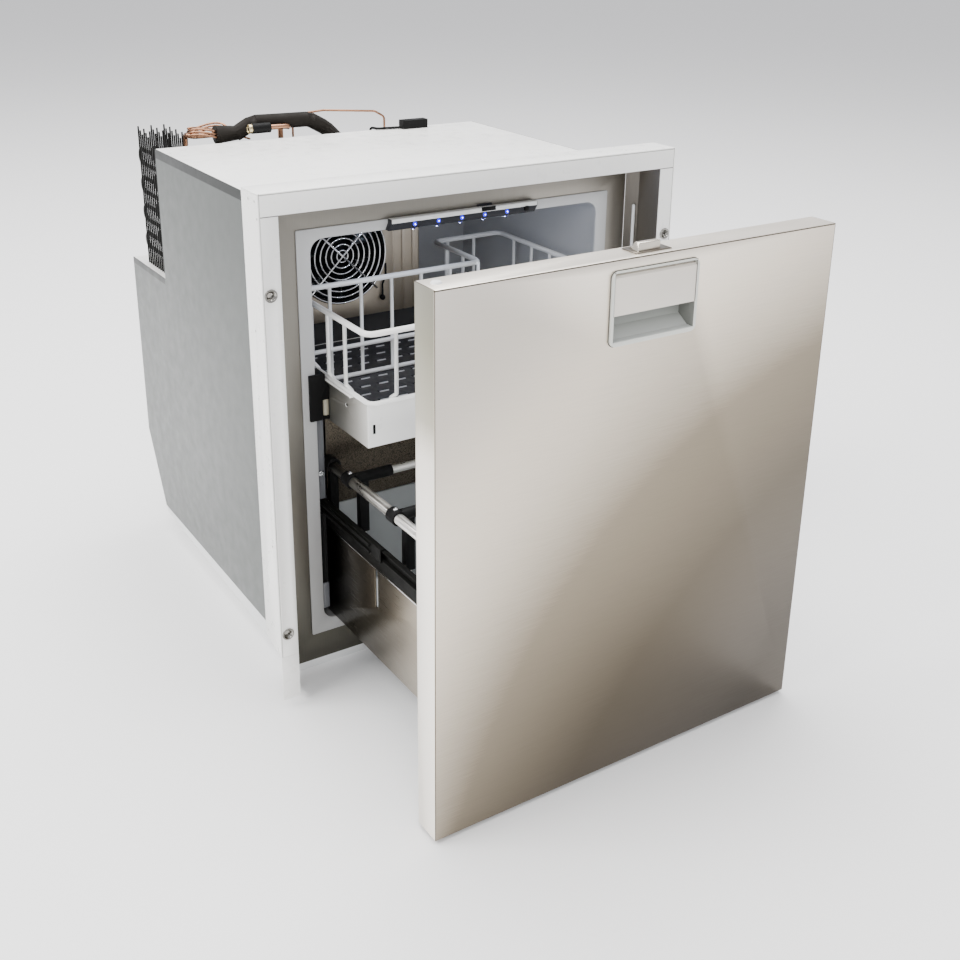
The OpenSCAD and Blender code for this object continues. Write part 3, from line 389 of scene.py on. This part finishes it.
MOULDINGS = (
    ("liner_plastic", (0.34, 0.35, 0.37), 0.3, 1600, 0.15),
    ("white_plastic", (0.82, 0.83, 0.83), 0.35),
    ("tub_plastic", (0.28, 0.295, 0.3), 0.35),
    ("handle_plastic", (0.62, 0.63, 0.585), 0.42, 1600, 0.5),
    ("flap_plastic", (0.72, 0.67, 0.6), 0.42),
    # The finger pocket's plastic is the handle's, darkened as painted shade in the recess; its side
    # walls darker still.
    ("pocket_plastic", (0.34, 0.35, 0.33), 0.45),
    ("pocket_wall", (0.17, 0.175, 0.16), 0.45),
    ("bracket_plastic", (0.1, 0.103, 0.112), 0.4),
    ("black_plastic", (0.005, 0.005, 0.005), 0.55),
    ("bar_plastic", (0.02, 0.021, 0.026), 0.5),
    ("cream_plastic", (0.36, 0.335, 0.25), 0.35),
    ("mat_rubber", (0.04, 0.04, 0.042), 0.5, 1200),
    # A painted highlight: the mat's rubber lightened for the lips along its slots.
    ("lip_rubber", (0.55, 0.55, 0.56), 0.4, 1200),
    ("joint_shadow", (0.1, 0.09, 0.08), 0.7, 1200),
    ("fold_shade", (0.42, 0.41, 0.39), 0.6, 1200),
    ("gasket_rubber", (0.3, 0.31, 0.32), 0.6, 1200),
    ("black_foam", (0.011, 0.009, 0.007), 0.7, 500),
    ("insulating_foam", (0.72, 0.62, 0.38), 0.85, 300),
)

BRUSHED_STEELS = (
    ("frame_steel", (0.22, 0.2, 0.175), 0.4, (60, 60, 1), 0.04),
    ("face_steel", (0.26, 0.24, 0.21), 0.42, (60, 60, 1), 0.04),
    ("cover_steel", (0.46, 0.4, 0.32), 0.42, (60, 1, 60), 0.05),
    ("slide_steel", (0.5, 0.48, 0.44), 0.3, (60, 1, 60), 0.05),
    ("dark_steel", (0.16, 0.14, 0.115), 0.3, (60, 60, 1), 0.05),
)

POLISHED_METALS = (
    ("rail_steel", (0.86, 0.84, 0.8), 0.3),
    ("rail_shaded", (0.86, 0.84, 0.8), 0.3),
    ("chrome", (0.82, 0.82, 0.83), 0.09),
    ("satin_aluminium", (0.72, 0.73, 0.74), 0.3),
    ("copper", (0.36, 0.19, 0.115), 0.26),
    ("brass", (0.6, 0.5, 0.3), 0.2),
    # A darker copy of the chrome: painted shade inside the screw cups.
    ("cup_steel", (0.3, 0.29, 0.27), 0.14),
    ("bolt_steel", (0.7, 0.65, 0.57), 0.16),
)

LENSES = (
    ("led_dim", (0.01, 0.01, 0.12), 0.6),
    ("led_glass", (0.02, 0.02, 0.9), 1.6),
    ("led_core", (0.75, 0.8, 1.0), 16.0),
)

KINDS = ((painted, PAINTS), (moulded, MOULDINGS), (brushed, BRUSHED_STEELS),
         (polished, POLISHED_METALS), (glowing, LENSES))

FINISHES = {row[0]: kind(*row) for kind, rows in KINDS for row in rows}
FINISHES["grey_coated_steel"] = side_sheet("grey_coated_steel", (0.108, 0.116, 0.112))
FINISHES["front_steel"] = front_sheet("front_steel")
FINISHES["front_fold"] = front_fold_sheet("front_fold")
FINISHES["box_steel"] = drawer_side_sheet("box_steel")

# Finishes whose gloss is weaker than plain plastic's.
DULLED = {"black_plastic": 0.12, "bar_plastic": 0.22, "black_foam": 0.16, "black_enamel": 0.12}

# Finishes that lie in shade by degrees: axis, from where to where in metres, and the tones.
SHADED = {
    "face_steel": ("Z", 0.04, 0.3, ((0, (0.105, 0.1, 0.084)), (0.45, (0.2, 0.188, 0.162)),
                                    (1, (0.32, 0.3, 0.265)))),
    "liner_plastic": ("Z", 0.08, 0.5, ((0, (0.34, 0.34, 0.335)), (0.4, (0.42, 0.42, 0.42)),
                                       (1, (0.53, 0.535, 0.54)))),
    "pocket_plastic": ("Z", 0.45, 0.476, ((0, (0.62, 0.64, 0.62)), (0.5, (0.36, 0.375, 0.35)),
                                          (1, (0.18, 0.19, 0.17)))),
    "rail_shaded": ("Y", -0.38, -0.2, ((0, (0.88, 0.86, 0.82)), (0.4, (0.8, 0.78, 0.73)),
                                       (0.75, (0.25, 0.24, 0.21)), (1, (0.06, 0.055, 0.048)))),
    "tray_side": ("Y", -0.288, -0.19, ((0, (0.6, 0.59, 0.56)), (0.25, (0.33, 0.32, 0.295)),
                                       (0.5, (0.16, 0.155, 0.14)), (1, (0.06, 0.06, 0.052)))),
}


def dull_and_shade():
    """The weaker gloss and the tones along an axis of the finishes that have them."""
    for name, gloss in DULLED.items():
        shader = FINISHES[name].node_tree.nodes["Principled BSDF"]
        shader.inputs["Specular IOR Level"].default_value = gloss
    for name, (axis, low, high, tones) in SHADED.items():
        material = FINISHES[name]
        place = spread(material, place_along(material, axis), 0, 1, low, high)
        shader = material.node_tree.nodes["Principled BSDF"]
        link(material, toned(material, place, tones), shader.inputs["Base Color"])


NODE_FINISHES = {
    "white_enamel": ("top_skin", "notch_skin", "trim_frame", "tray"),
    "basket_coating": ("wire_basket",),
    "grey_coated_steel": ("side_skin_left", "side_skin_right", "rear_lower_cover"),
    "front_steel": ("front_skin",),
    "frame_steel": ("recess_frame",),
    "face_steel": ("face_frame",),
    "box_steel": ("box_sides",),
    "cover_steel": ("evaporator_cover",),
    "slide_steel": ("slides_fixed",),
    "dark_steel": ("latch_plate",),
    "bolt_steel": ("latch_bolt",),
    "cup_steel": ("screw_cups",),
    "rail_steel": ("divider_front", "divider_rear"),
    "rail_shaded": ("divider_rails",),
    "chrome": ("fan_guard",),
    "satin_aluminium": ("evaporator",),
    "copper": ("copper_pipes",),
    "liner_plastic": ("liner",),
    "white_plastic": ("base_pan", "side_buffers", "support_ledges", "inner_pan", "front_cap",
                      "support_roller_left", "support_roller_right"),
    "tub_plastic": ("box_tub",),
    "handle_plastic": ("handle_bezel",),
    "flap_plastic": ("handle_flap",),
    "bracket_plastic": ("rail_brackets", "guide_pads"),
    "bar_plastic": ("light_bar",),
    "black_plastic": ("runner_blocks", "control_button", "evaporator_fan_housing",
                      "evaporator_fan_rotor", "temperature_probe", "rail_sockets",
                      "condenser_fan_housing", "condenser_fan_rotor", "plug_connector",
                      "electronics_box"),
    "cream_plastic": ("guide_roller_left", "guide_roller_right"),
    "mat_rubber": ("slotted_mat",),
    "gasket_rubber": ("gasket",),
    "black_foam": ("suction_pipe",),
    "black_enamel": ("compressor", "condenser", "slide_middle_left", "slide_middle_right",
                     "slides_drawer"),
    "insulating_foam": ("cabinet_foam", "front_foam"),
    "led_dim": ("led_lenses",),
}


def finish_nodes():
    for finish, names in NODE_FINISHES.items():
        for name in names:
            data = frame["nodes"][name].data
            data.materials.clear()
            data.materials.append(FINISHES[finish])


# Working on a piece

def at(x, y, z):
    """A place in the part's frame from millimetres measured at the trim frame's front plane."""
    return Vector((x, y - 250, z + 4)) * MM


def select_only(piece):
    bpy.ops.object.select_all(action="DESELECT")
    piece.select_set(True)
    bpy.context.view_layer.objects.active = piece


def open_faces(piece, wanted):
    """Opens the piece for editing with only the faces selected that are wanted by centre and normal."""
    bpy.ops.object.mode_set(mode="EDIT")
    bpy.ops.mesh.select_mode(type="FACE")
    bpy.ops.mesh.select_all(action="DESELECT")
    bpy.ops.object.mode_set(mode="OBJECT")
    for face in piece.data.polygons:
        face.select = wanted(face.center, face.normal)
    bpy.ops.object.mode_set(mode="EDIT")


def open_points(piece, wanted):
    """Opens the piece for editing with only the points selected that are wanted by place."""
    bpy.ops.object.mode_set(mode="EDIT")
    bpy.ops.mesh.select_mode(type="VERT")
    bpy.ops.mesh.select_all(action="DESELECT")
    bpy.ops.object.mode_set(mode="OBJECT")
    for point in piece.data.vertices:
        point.select = wanted(point.co)
    bpy.ops.object.mode_set(mode="EDIT")


def open_all():
    """Opens the active piece for editing with all of it selected."""
    bpy.ops.object.mode_set(mode="EDIT")
    bpy.ops.mesh.select_all(action="SELECT")


def close_edit():
    bpy.ops.object.mode_set(mode="OBJECT")


def inset_and_push(width, by):
    """Insets the selected faces and pushes the new ones, in millimetres."""
    bpy.ops.mesh.inset(thickness=width * MM)
    bpy.ops.mesh.extrude_region_move(
        TRANSFORM_OT_translate={"value": tuple(distance * MM for distance in by)})


def apply_new(piece, kind, **settings):
    """Puts a modifier on the piece and applies it."""
    modifier = piece.modifiers.new(kind.lower(), kind)
    for key, value in settings.items():
        setattr(modifier, key, value)
    bpy.context.view_layer.objects.active = piece
    bpy.ops.object.modifier_apply(modifier=modifier.name)


def round_edges(piece, radius, segments=2):
    apply_new(piece, "BEVEL", width=radius * MM, segments=segments, limit_method="ANGLE",
              angle_limit=math.radians(ROUNDED_ANGLE))


def take_away(piece, cutter):
    """Cuts one piece out of another."""
    apply_new(piece, "BOOLEAN", object=cutter, operation="DIFFERENCE", solver="EXACT")
    bpy.data.objects.remove(cutter)


# Rounded copies of the CAD pieces: each one's radius in millimetres

ROUNDINGS = {
    "face_frame": 0.3, "recess_frame": 0.3, "liner": 1.2, "front_skin": 0.9,
    "inner_pan": 1.0, "handle_bezel": 1.0, "handle_flap": 0.7, "latch_bolt": 0.6,
    "base_pan": 2.0, "box_tub": 1.0, "box_sides": 0.3, "tray": 0.5, "slotted_mat": 0.4,
    "runner_blocks": 0.8, "rail_brackets": 0.8, "guide_pads": 0.8, "light_bar": 0.8,
    "evaporator_cover": 0.5, "evaporator_fan_housing": 0.8, "condenser_fan_housing": 0.8,
    "compressor": 1.0, "electronics_box": 1.5, "rail_sockets": 0.8, "divider_front": 0.5,
    "divider_rear": 0.5, "gasket": 2.0, "screw_cups": 0.3, "top_skin": 0.3, "notch_skin": 0.3,
    "side_skin_left": 0.3, "side_skin_right": 0.3, "front_cap": 0.4,
    "support_ledges": 0.8, "latch_plate": 0.3, "control_button": 0.3, "slides_drawer": 0.3,
    "slides_fixed": 0.3, "slide_middle_left": 0.3, "slide_middle_right": 0.3,
}

# Points closer together than this, in metres, become one.
MERGE_DISTANCE = 0.00001

# How much a piece's area may change when it is rounded, with its flat faces joined and without.
AREA_CHANGES = ((True, 0.02), (False, 0.1))

# CAD pieces that newly modelled sheets stand for.
REMADE = ("trim_frame",)


def shown_area(data):
    """The area of a mesh's faces as they are drawn, in triangles."""
    data.calc_loop_triangles()
    return sum(triangle.area for triangle in data.loop_triangles)


def dressed(name, radius):
    """A merged copy of a CAD piece with its sharp edges rounded, which stands for that piece."""
    source = frame["nodes"][name]
    piece = bpy.data.objects.new(name + "_dressed", source.data.copy())
    bpy.context.scene.collection.objects.link(piece)
    select_only(piece)
    open_all()
    bpy.ops.mesh.remove_doubles(threshold=MERGE_DISTANCE)
    close_edit()
    plain = piece.data.copy()
    area = shown_area(plain)
    for joined, change in (AREA_CHANGES if radius else ()):
        if joined:
            open_all()
            bpy.ops.mesh.dissolve_limited(angle_limit=math.radians(FLAT_ANGLE))
            close_edit()
        round_edges(piece, radius)
        if abs(shown_area(piece.data) / area - 1) < change:
            break
        piece.data = plain.copy()
    bpy.ops.object.shade_smooth_by_angle(angle=math.radians(SMOOTH_ANGLE))
    piece.select_set(False)
    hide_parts(name)
    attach(piece, source["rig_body"])


def dress_nodes():
    for name in frame["nodes"]:
        if name not in REMADE:
            dressed(name, ROUNDINGS.get(name, 0.0))


def shade_faces(name, finish, wanted):
    """A second finish on those faces of a dressed piece that are wanted by centre and normal."""
    piece = bpy.data.objects[name + "_dressed"]
    piece.data.materials.append(FINISHES[finish])
    for face in piece.data.polygons:
        if wanted(face.center, face.normal):
            face.material_index = len(piece.data.materials) - 1


# Where second finishes start, in metres: the dividers' black ends, the finger pocket behind the
# handle's bed, the front's folds and the tray's side walls. The pocket and the tray's side walls take
# painted shade, the folds painted reflection and shade.
SLEEVE_INNER, CLAMP_LOW = 0.1118, 0.1785
POCKET_HALF = 0.0456
POCKET_START = at(0, -266, 0).y + 0.0015
FOLD_INNER = 0.22
TRAY_SIDE_INNER = 0.161


def shade_dressed_pieces():
    for name in ("divider_front", "divider_rear"):
        shade_faces(name, "black_plastic", lambda centre, normal:
                    abs(centre.x) > SLEEVE_INNER and centre.z > CLAMP_LOW)
    # Painted shade in the finger pocket: a darker floor and darker side walls.
    shade_faces("handle_bezel", "pocket_plastic", lambda centre, normal:
                centre.y > POCKET_START and abs(centre.x) < POCKET_HALF)
    shade_faces("handle_bezel", "pocket_wall", lambda centre, normal:
                centre.y > POCKET_START and abs(centre.x) < POCKET_HALF and abs(normal.x) > 0.7)
    # The front's folds take the finish with painted reflection and shade.
    shade_faces("front_skin", "front_fold", lambda centre, normal:
                abs(normal.x) > 0.9 and abs(centre.x) > FOLD_INNER)
    shade_faces("tray", "tray_side", lambda centre, normal:
                abs(normal.x) > 0.7 and abs(centre.x) > TRAY_SIDE_INNER)


# The front's folds reach this much further back, and the pieces behind them are this much narrower.
FOLD_REAR = at(0, -241, 0).y
FOLD_SIDE, FOLD_TOP, FOLD_BOTTOM = 0.2185, 0.5255, 0.0055
FOLD_GAIN = 4.7 * MM
PAN_NARROWED, PAN_LOWERED = 438.6 / 442, 519.6 / 523
SEAL_NARROWED = 418 / 432
SEAL_OUTER = 0.243
SEAL_DRAWN_IN = 0.27


def fold_front():
    """The front sheet's folds reach the front's rear plane, over the edges of the inner pan."""
    for point in bpy.data.objects["front_skin_dressed"].data.vertices:
        if point.co.y > FOLD_REAR and (abs(point.co.x) > FOLD_SIDE or point.co.z > FOLD_TOP or
                                       point.co.z < FOLD_BOTTOM):
            point.co.y += FOLD_GAIN
    for name, across, up in (("inner_pan", PAN_NARROWED, PAN_LOWERED), ("gasket", SEAL_NARROWED, 1)):
        bpy.data.objects[name + "_dressed"].data.transform(
            Matrix.Translation((0, 0, FRONT_MIDDLE)) @ Matrix.Diagonal((across, 1, up, 1)) @
            Matrix.Translation((0, 0, -FRONT_MIDDLE)))
    for point in bpy.data.objects["gasket_dressed"].data.vertices:
        beyond = abs(point.co.z - FRONT_MIDDLE) - SEAL_OUTER
        if beyond > 0:
            point.co.z -= math.copysign(SEAL_DRAWN_IN * beyond, point.co.z - FRONT_MIDDLE)


# Starting and finishing a new piece

def start(kind, name, place, turn=(0, 0, 0), **sizes):
    """A primitive at its place, with that place in its mesh, as the start of a piece."""
    bpy.ops.object.select_all(action="DESELECT")
    add = {"cylinder": bpy.ops.mesh.primitive_cylinder_add, "cube": bpy.ops.mesh.primitive_cube_add,
           "sphere": bpy.ops.mesh.primitive_uv_sphere_add}[kind]
    add(location=place, rotation=turn, **sizes)
    piece = bpy.context.object
    piece.name = name
    bpy.ops.object.transform_apply(location=True, rotation=True, scale=True)
    return piece


def block(name, low, high):
    """A block between two corners, as the start of a piece."""
    return start("cube", name, (low + high) / 2, size=1, scale=high - low)


def side_block(name, side, inner, outer, low, high):
    """A block on one side, from inner to outer across and between two places in depth and height."""
    left, right = sorted((side * inner, side * outer))
    return block(name, at(left, *low), at(right, *high))


def cylinder(name, place, turn, radius, depth, vertices):
    """A round bar at its middle, in millimetres, as the start of a piece."""
    return start("cylinder", name, place, turn, vertices=vertices, radius=radius * MM,
                 depth=depth * MM)


def done(piece, body, finish, smooth=SMOOTH_ANGLE):
    """The piece's finish and body; it is left deselected."""
    select_only(piece)
    bpy.ops.object.shade_smooth_by_angle(angle=math.radians(smooth))
    piece.data.materials.clear()
    piece.data.materials.append(FINISHES[finish])
    piece.select_set(False)
    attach(piece, body)


def rounded_block(name, low, high, radius, body, finish, segments=2):
    """A whole small piece: a block between two corners in millimetres, with its edges rounded."""
    piece = block(name, at(*low), at(*high))
    round_edges(piece, radius, segments)
    done(piece, body, finish)


def set_copy(model, name, by, body, finish):
    """A copy of the model with its own mesh, moved by a distance, as a piece of its own."""
    twin = bpy.data.objects.new(name, model.data.copy())
    twin.data.transform(Matrix.Translation(by))
    bpy.context.scene.collection.objects.link(twin)
    done(twin, body, finish)


def set_pair(model, name, across, body, finish):
    """A copy of the model on the left and on the right; the model itself goes."""
    for side, word in SIDES:
        set_copy(model, f"{name}_{word}", (side * across * MM, 0, 0), body, finish)
    bpy.data.objects.remove(model)


# Screws with a cross recess

CROSS_LENGTH, CROSS_WIDTH, CROSS_DEPTH = 1.15, 0.24, 1.2
HEAD_ROUNDING = 0.6


def cross_head_screw(radius, height, axis, out, turn=(0, 0, 0)):
    """A pan-head screw with a cross recess, seated at the origin and facing out along an axis."""
    out = Vector(out)
    head = cylinder("screw", out * height * MM / 2, turn, radius, height, 32)
    open_faces(head, lambda centre, normal: normal.dot(out) > 0.9)
    bpy.ops.mesh.bevel(offset=height * HEAD_ROUNDING * MM, segments=4, affect="EDGES")
    close_edit()
    for quarter in (1, 3):
        turned = [0, 0, 0]
        turned[axis] = quarter * math.pi / 4
        sizes = [radius * CROSS_LENGTH * MM, radius * CROSS_WIDTH * MM]
        sizes.insert(axis, height * CROSS_DEPTH * MM)
        take_away(head, start("cube", "recess", out * height * MM, turned, size=1, scale=sizes))
    return head


def make_bracket_screws():
    screw = cross_head_screw(3.2, 1.2, 1, (0, -1, 0), ALONG_Y)
    for side, word in SIDES:
        set_copy(screw, "bracket_screw_" + word, at(side * 173.5, 50.2, 231), "cabinet", "chrome")
    bpy.data.objects.remove(screw)


def make_divider_screws():
    screw = cross_head_screw(2.4, 1.1, 2, (0, 0, 1))
    for body, y in (("front_divider", -88), ("rear_divider", 9)):
        for side, word in SIDES:
            set_copy(screw, f"{body}_screw_{word}", at(side * 160, y, 244.6), body, "chrome")
    bpy.data.objects.remove(screw)


# Small pieces of the cavity, the drawer's box and the tray

def make_fan_mouth_shade():
    """A black ring behind the guard's outer rings: painted shade of the fan's opening."""
    centre = at(-65, 205.8, 418)
    ring = cylinder("fan_mouth_shade", centre, ALONG_Y, 57.6, 0.3, 72)
    take_away(ring, cylinder("fan_mouth_hole", centre, ALONG_Y, 53.4, 2, 72))
    done(ring, "cabinet", "black_plastic")


def make_mat_lips():
    """The raised lips along the front edges of the mat's slots, in two staggered patterns, light as a
    painted highlight.
    """
    for name, x, y, across, rows in (("even", -132, -20, 13, 6), ("odd", -121, 2, 12, 5)):
        lip = block("mat_lips_" + name, at(x - 5.5, y - 3.6, 302.6), at(x + 5.5, y - 1.8, 303.9))
        round_edges(lip, 0.25)
        for step, count in (((22, 0, 0), across), ((0, 44, 0), rows)):
            apply_new(lip, "ARRAY", count=count, use_relative_offset=False,
                      use_constant_offset=True,
                      constant_offset_displace=[distance * MM for distance in step])
        done(lip, "tray", "lip_rubber")


def make_mouth_uprights():
    """Black uprights in the cavity's mouth, between the guide pads and the slides."""
    upright = block("mouth_upright", at(-4, 49.4, 99.4), at(4, 57.6, 184.4))
    open_faces(upright, lambda centre, normal: normal.y < -0.9)
    inset_and_push(1.6, (0, 1.5, 0))
    close_edit()
    round_edges(upright, 0.5)
    set_pair(upright, "mouth_upright", 173.6, "cabinet", "black_plastic")


def make_slide_lips():
    """The bright lower lip of the slides' drawer members."""
    lip = block("slide_lip", at(-0.4, -211, 164.9), at(0.4, 40, 166.1))
    round_edges(lip, 0.3)
    set_pair(lip, "slide_lip", 166.7, "drawer", "chrome")


def make_tray_shades():
    """Painted shade: a dark strip along the tray's rear wall inside, and dark fill in its slot and
    hole.
    """
    rounded_block("tray_rear_shade", (-158, 237.4, 304), (158, 238.3, 333), 0.3, "tray",
                  "mat_rubber")
    rounded_block("tray_slot_shade", (-156.4, -37.7, 305.1), (-153.6, -36.6, 314.9), 0.2, "tray",
                  "black_plastic")
    hole = cylinder("tray_hole_shade", at(-161.6, 8, 322), ALONG_X, 1.9, 0.8, 24)
    round_edges(hole, 0.2)
    done(hole, "tray", "black_plastic")


# The painted shadows round the handle's frame and in the gap round its flap

def make_bezel_shadow_gap():
    """A thin dark ring between the handle's frame and the steel: the painted shadow of the gap there.
    """
    shadow_strip = block("bezel_shadow_gap", at(-49.2, -266.45, 445.3), at(49.2, -265.6, 513.7))
    open_faces(shadow_strip, lambda centre, normal: abs(normal.y) > 0.9)
    bpy.ops.mesh.delete(type="ONLY_FACE")
    close_edit()
    round_edges(shadow_strip, 6.5, 8)
    apply_new(shadow_strip, "SOLIDIFY", thickness=2 * MM, offset=-1)
    done(shadow_strip, "drawer", "joint_shadow")


def make_flap_gap():
    """Dark strips as painted shadow in the gap round the flap's upper edge and sides."""
    for name, low, high in (("left", (-46.4, -268.4, 474), (-45.6, -267.9, 512)),
                            ("right", (45.6, -268.4, 474), (46.4, -267.9, 512)),
                            ("top", (-46.4, -268.4, 511.3), (46.4, -267.9, 512.5))):
        rounded_block("flap_gap_" + name, low, high, 0.1, "drawer", "joint_shadow", 1)


# The light bar: its pale strip with the notch, its diodes and their glow

DIODES = 5
FIRST_DIODE, DIODE_STEP, DIODE_HEIGHT = -63, 28.5, 491
GLOW_DEPTH, GLOW_HEIGHT, GLOW_POWER = 46, 478, 0.05


def make_dome(name, radius):
    """The front half of a lens, flattened, with its rear at the origin."""
    dome = start("sphere", name, (0, 0, 0), ALONG_Y, segments=20, ring_count=12,
                 radius=radius * MM)
    open_points(dome, lambda co: co.y > 0.1 * MM)
    bpy.ops.mesh.delete(type="VERT")
    close_edit()
    open_all()
    bpy.ops.transform.resize(value=(1, 0.4, 1), center_override=(0, 0, 0))
    close_edit()
    return dome


def make_glow(place):
    """The diode's light on the liner; the lamp itself isn't seen."""
    data = bpy.data.lights.new("diode_glow", "POINT")
    data.energy = GLOW_POWER
    data.color = (0.62, 0.72, 1)
    data.shadow_soft_size = 0.003
    glow = bpy.data.objects.new("diode_glow", data)
    bpy.context.scene.collection.objects.link(glow)
    glow.location = place
    glow.visible_camera = False


def make_light_strip():
    for name, low, high in (("face", (-90, 38.8, 494), (90, 39.4, 498.7)),
                            ("top", (-90, 38.8, 498.1), (90, 46.3, 498.7))):
        rounded_block("light_strip_" + name, low, high, 0.2, "cabinet", "white_plastic")
    rounded_block("light_strip_notch", (18, 38.6, 494.6), (36, 39.6, 499.2), 0.2, "cabinet",
                  "black_plastic")


def make_diodes():
    """Each diode is a blue dome with a bright spark before it."""
    domes = [(name, make_dome(name, radius), finish, depth)
             for name, radius, finish, depth in (("diode", 2.3, "led_glass", 39.5),
                                                 ("spark", 0.9, "led_core", 38.9))]
    for step in range(DIODES):
        x = FIRST_DIODE + DIODE_STEP * step
        make_glow(at(x, GLOW_DEPTH, GLOW_HEIGHT))
        for name, dome, finish, depth in domes:
            set_copy(dome, f"{name}_{step}", at(x, depth, DIODE_HEIGHT), "cabinet", finish)
    for name, dome, finish, depth in domes:
        bpy.data.objects.remove(dome)


# The trim frame's folded sheets, with the thin joints and folds that show between them

TRIM_HALF, TRIM_TOP = 250, 549
SHEET, RETURN_DEPTH = 1.2, 38
STRIP_INNER, STRIP_OUTER, RETURN_INNER = 230.5, 248.4, 248.8
FOOT_LOW, FOOT_HIGH = 4, 55.98
STRIP_LOW, STRIP_HIGH = 56, 526.6
TOP_LOW, TOP_HIGH = 527.2, 547.4
RETURN_HIGH, RETURN_SLANT = 547.6, 0.01
ROOF_FRONT, ROOF_LOW = 0.3, 547.8
SCREW_ACROSS, SCREW_HEIGHTS, SCREW_HOLE = 241.5, (83, 451.5), 5.2
RIVETS = ((22, 541), (8, 541), (4, 525), (21, 412), (9, 184))
RIVET_ACROSS, RIVET_HOLE = 249.4, 1.5
HOLE_DEPTH = 10

# Thin lines just before the sheets: name, lower and upper corner, finish
TRIM_LINES = (
    ("left", (-249, -0.04, 56), (-248.2, 0.9, 549), "fold_shade"),
    ("right", (248.2, -0.04, 56), (249, 0.9, 549), "fold_shade"),
    ("top", (-248.4, -0.04, 547.2), (248.4, 0.9, 548), "fold_shade"),
    ("corner_left", (-248.4, -0.04, 526.5), (-230.5, 0.9, 527.3), "joint_shadow"),
    ("corner_right", (230.5, -0.04, 526.5), (248.4, 0.9, 527.3), "joint_shadow"),
)


def make_trim_frame():
    sheets = []
    for side, word in SIDES:
        strip = side_block("trim_strip_" + word, side, STRIP_INNER, STRIP_OUTER, (0, STRIP_LOW),
                           (SHEET, STRIP_HIGH))
        foot = side_block("trim_foot_" + word, side, STRIP_INNER, TRIM_HALF, (0, FOOT_LOW),
                          (SHEET, FOOT_HIGH))
        for z in SCREW_HEIGHTS:
            take_away(strip, cylinder("screw_hole", at(side * SCREW_ACROSS, SHEET / 2, z), ALONG_Y,
                                      SCREW_HOLE, HOLE_DEPTH, 40))
        edge = side_block("trim_return_" + word, side, RETURN_INNER, TRIM_HALF, (0, STRIP_LOW),
                          (RETURN_DEPTH, RETURN_HIGH))
        open_points(edge, lambda co: co.y > at(0, 30, 0).y and co.z < at(0, 0, 60).z)
        bpy.ops.transform.translate(value=(0, 0, RETURN_SLANT))
        close_edit()
        for y, z in RIVETS:
            take_away(edge, cylinder("rivet_hole", at(side * RIVET_ACROSS, y, z), ALONG_X,
                                     RIVET_HOLE, HOLE_DEPTH, 24))
        sheets += [foot, strip, edge]
    sheets.append(block("trim_strip_top", at(-STRIP_OUTER, 0, TOP_LOW),
                        at(STRIP_OUTER, SHEET, TOP_HIGH)))
    sheets.append(block("trim_return_top", at(-TRIM_HALF, ROOF_FRONT, ROOF_LOW),
                        at(TRIM_HALF, RETURN_DEPTH, TRIM_TOP)))
    for name, low, high, finish in TRIM_LINES:
        rounded_block("trim_joint_" + name, low, high, 0.1, "cabinet", finish, 1)
    for sheet in sheets:
        round_edges(sheet, 0.35)
        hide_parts("trim_frame")
        done(sheet, "cabinet", "white_enamel")


# Small fittings of the cooling unit that show above the top sheet

VALVE_DEPTH, VALVE_HEIGHT = 383.5, 539.5
LOOPS, LOOP_STEPS = 3, 20


def copper_pipe(name, points, radius):
    """A thin copper pipe through a list of places."""
    path = bpy.data.curves.new(name, "CURVE")
    path.dimensions = "3D"
    path.bevel_depth = radius * MM
    path.bevel_resolution = 4
    path.use_fill_caps = True
    path.resolution_u = 10
    spline = path.splines.new("BEZIER")
    spline.bezier_points.add(len(points) - 1)
    for knot, place in zip(spline.bezier_points, points):
        knot.co = place
        knot.handle_left_type = knot.handle_right_type = "AUTO"
    tube = bpy.data.objects.new(name, path)
    bpy.context.scene.collection.objects.link(tube)
    select_only(tube)
    bpy.ops.object.convert(target="MESH")
    done(bpy.context.object, "cabinet", "copper", PIPE_SMOOTH_ANGLE)


def make_service_valve():
    """The charging valve: a black sleeve over the pipe and a brass cap on its end."""
    sleeve = cylinder("valve_sleeve", at(-82, VALVE_DEPTH, VALVE_HEIGHT), ALONG_X, 6.2, 24, 40)
    round_edges(sleeve, 0.23, 3)
    done(sleeve, "cabinet", "black_plastic")
    cap = cylinder("valve_cap", at(-95.5, VALVE_DEPTH, VALVE_HEIGHT), ALONG_X, 5.6, 5, 36)
    open_faces(cap, lambda centre, normal: normal.x < -0.9)
    inset_and_push(1, (1.2, 0, 0))
    inset_and_push(1.6, (-1, 0, 0))
    close_edit()
    round_edges(cap, 0.6, 3)
    done(cap, "cabinet", "brass")
    copper_pipe("valve_pipe", [at(-76, VALVE_DEPTH, VALVE_HEIGHT), at(-58, VALVE_DEPTH, VALVE_HEIGHT),
                               at(-46, 386, 538.5), at(-40, 396, 536)], 3.2)


def make_capillary_loops():
    """The thin capillary pipe's loops beside the condenser."""
    points = []
    for step in range(LOOPS * LOOP_STEPS + 1):
        turn = step / LOOP_STEPS * 2 * math.pi
        drift = step / (LOOPS * LOOP_STEPS)
        points.append(at(-142 - 24 * math.cos(turn) + 4 * drift,
                         408 - 16 * math.sin(turn) + 5 * drift,
                         532 + 9 * drift + 3 * math.sin(2 * turn)))
    points += [at(-150, 415, 540), at(-120, 418, 534), at(-80, 424, 520)]
    copper_pipe("capillary_loops", points, 1.3)


make_camera()
make_studio()
dull_and_shade()
finish_nodes()
dress_nodes()
shade_dressed_pieces()
fold_front()
make_bracket_screws()
make_fan_mouth_shade()
make_mat_lips()
make_divider_screws()
make_light_strip()
make_diodes()
make_mouth_uprights()
make_slide_lips()
make_tray_shades()
make_bezel_shadow_gap()
make_flap_gap()
make_trim_frame()
make_service_valve()
make_capillary_loops()
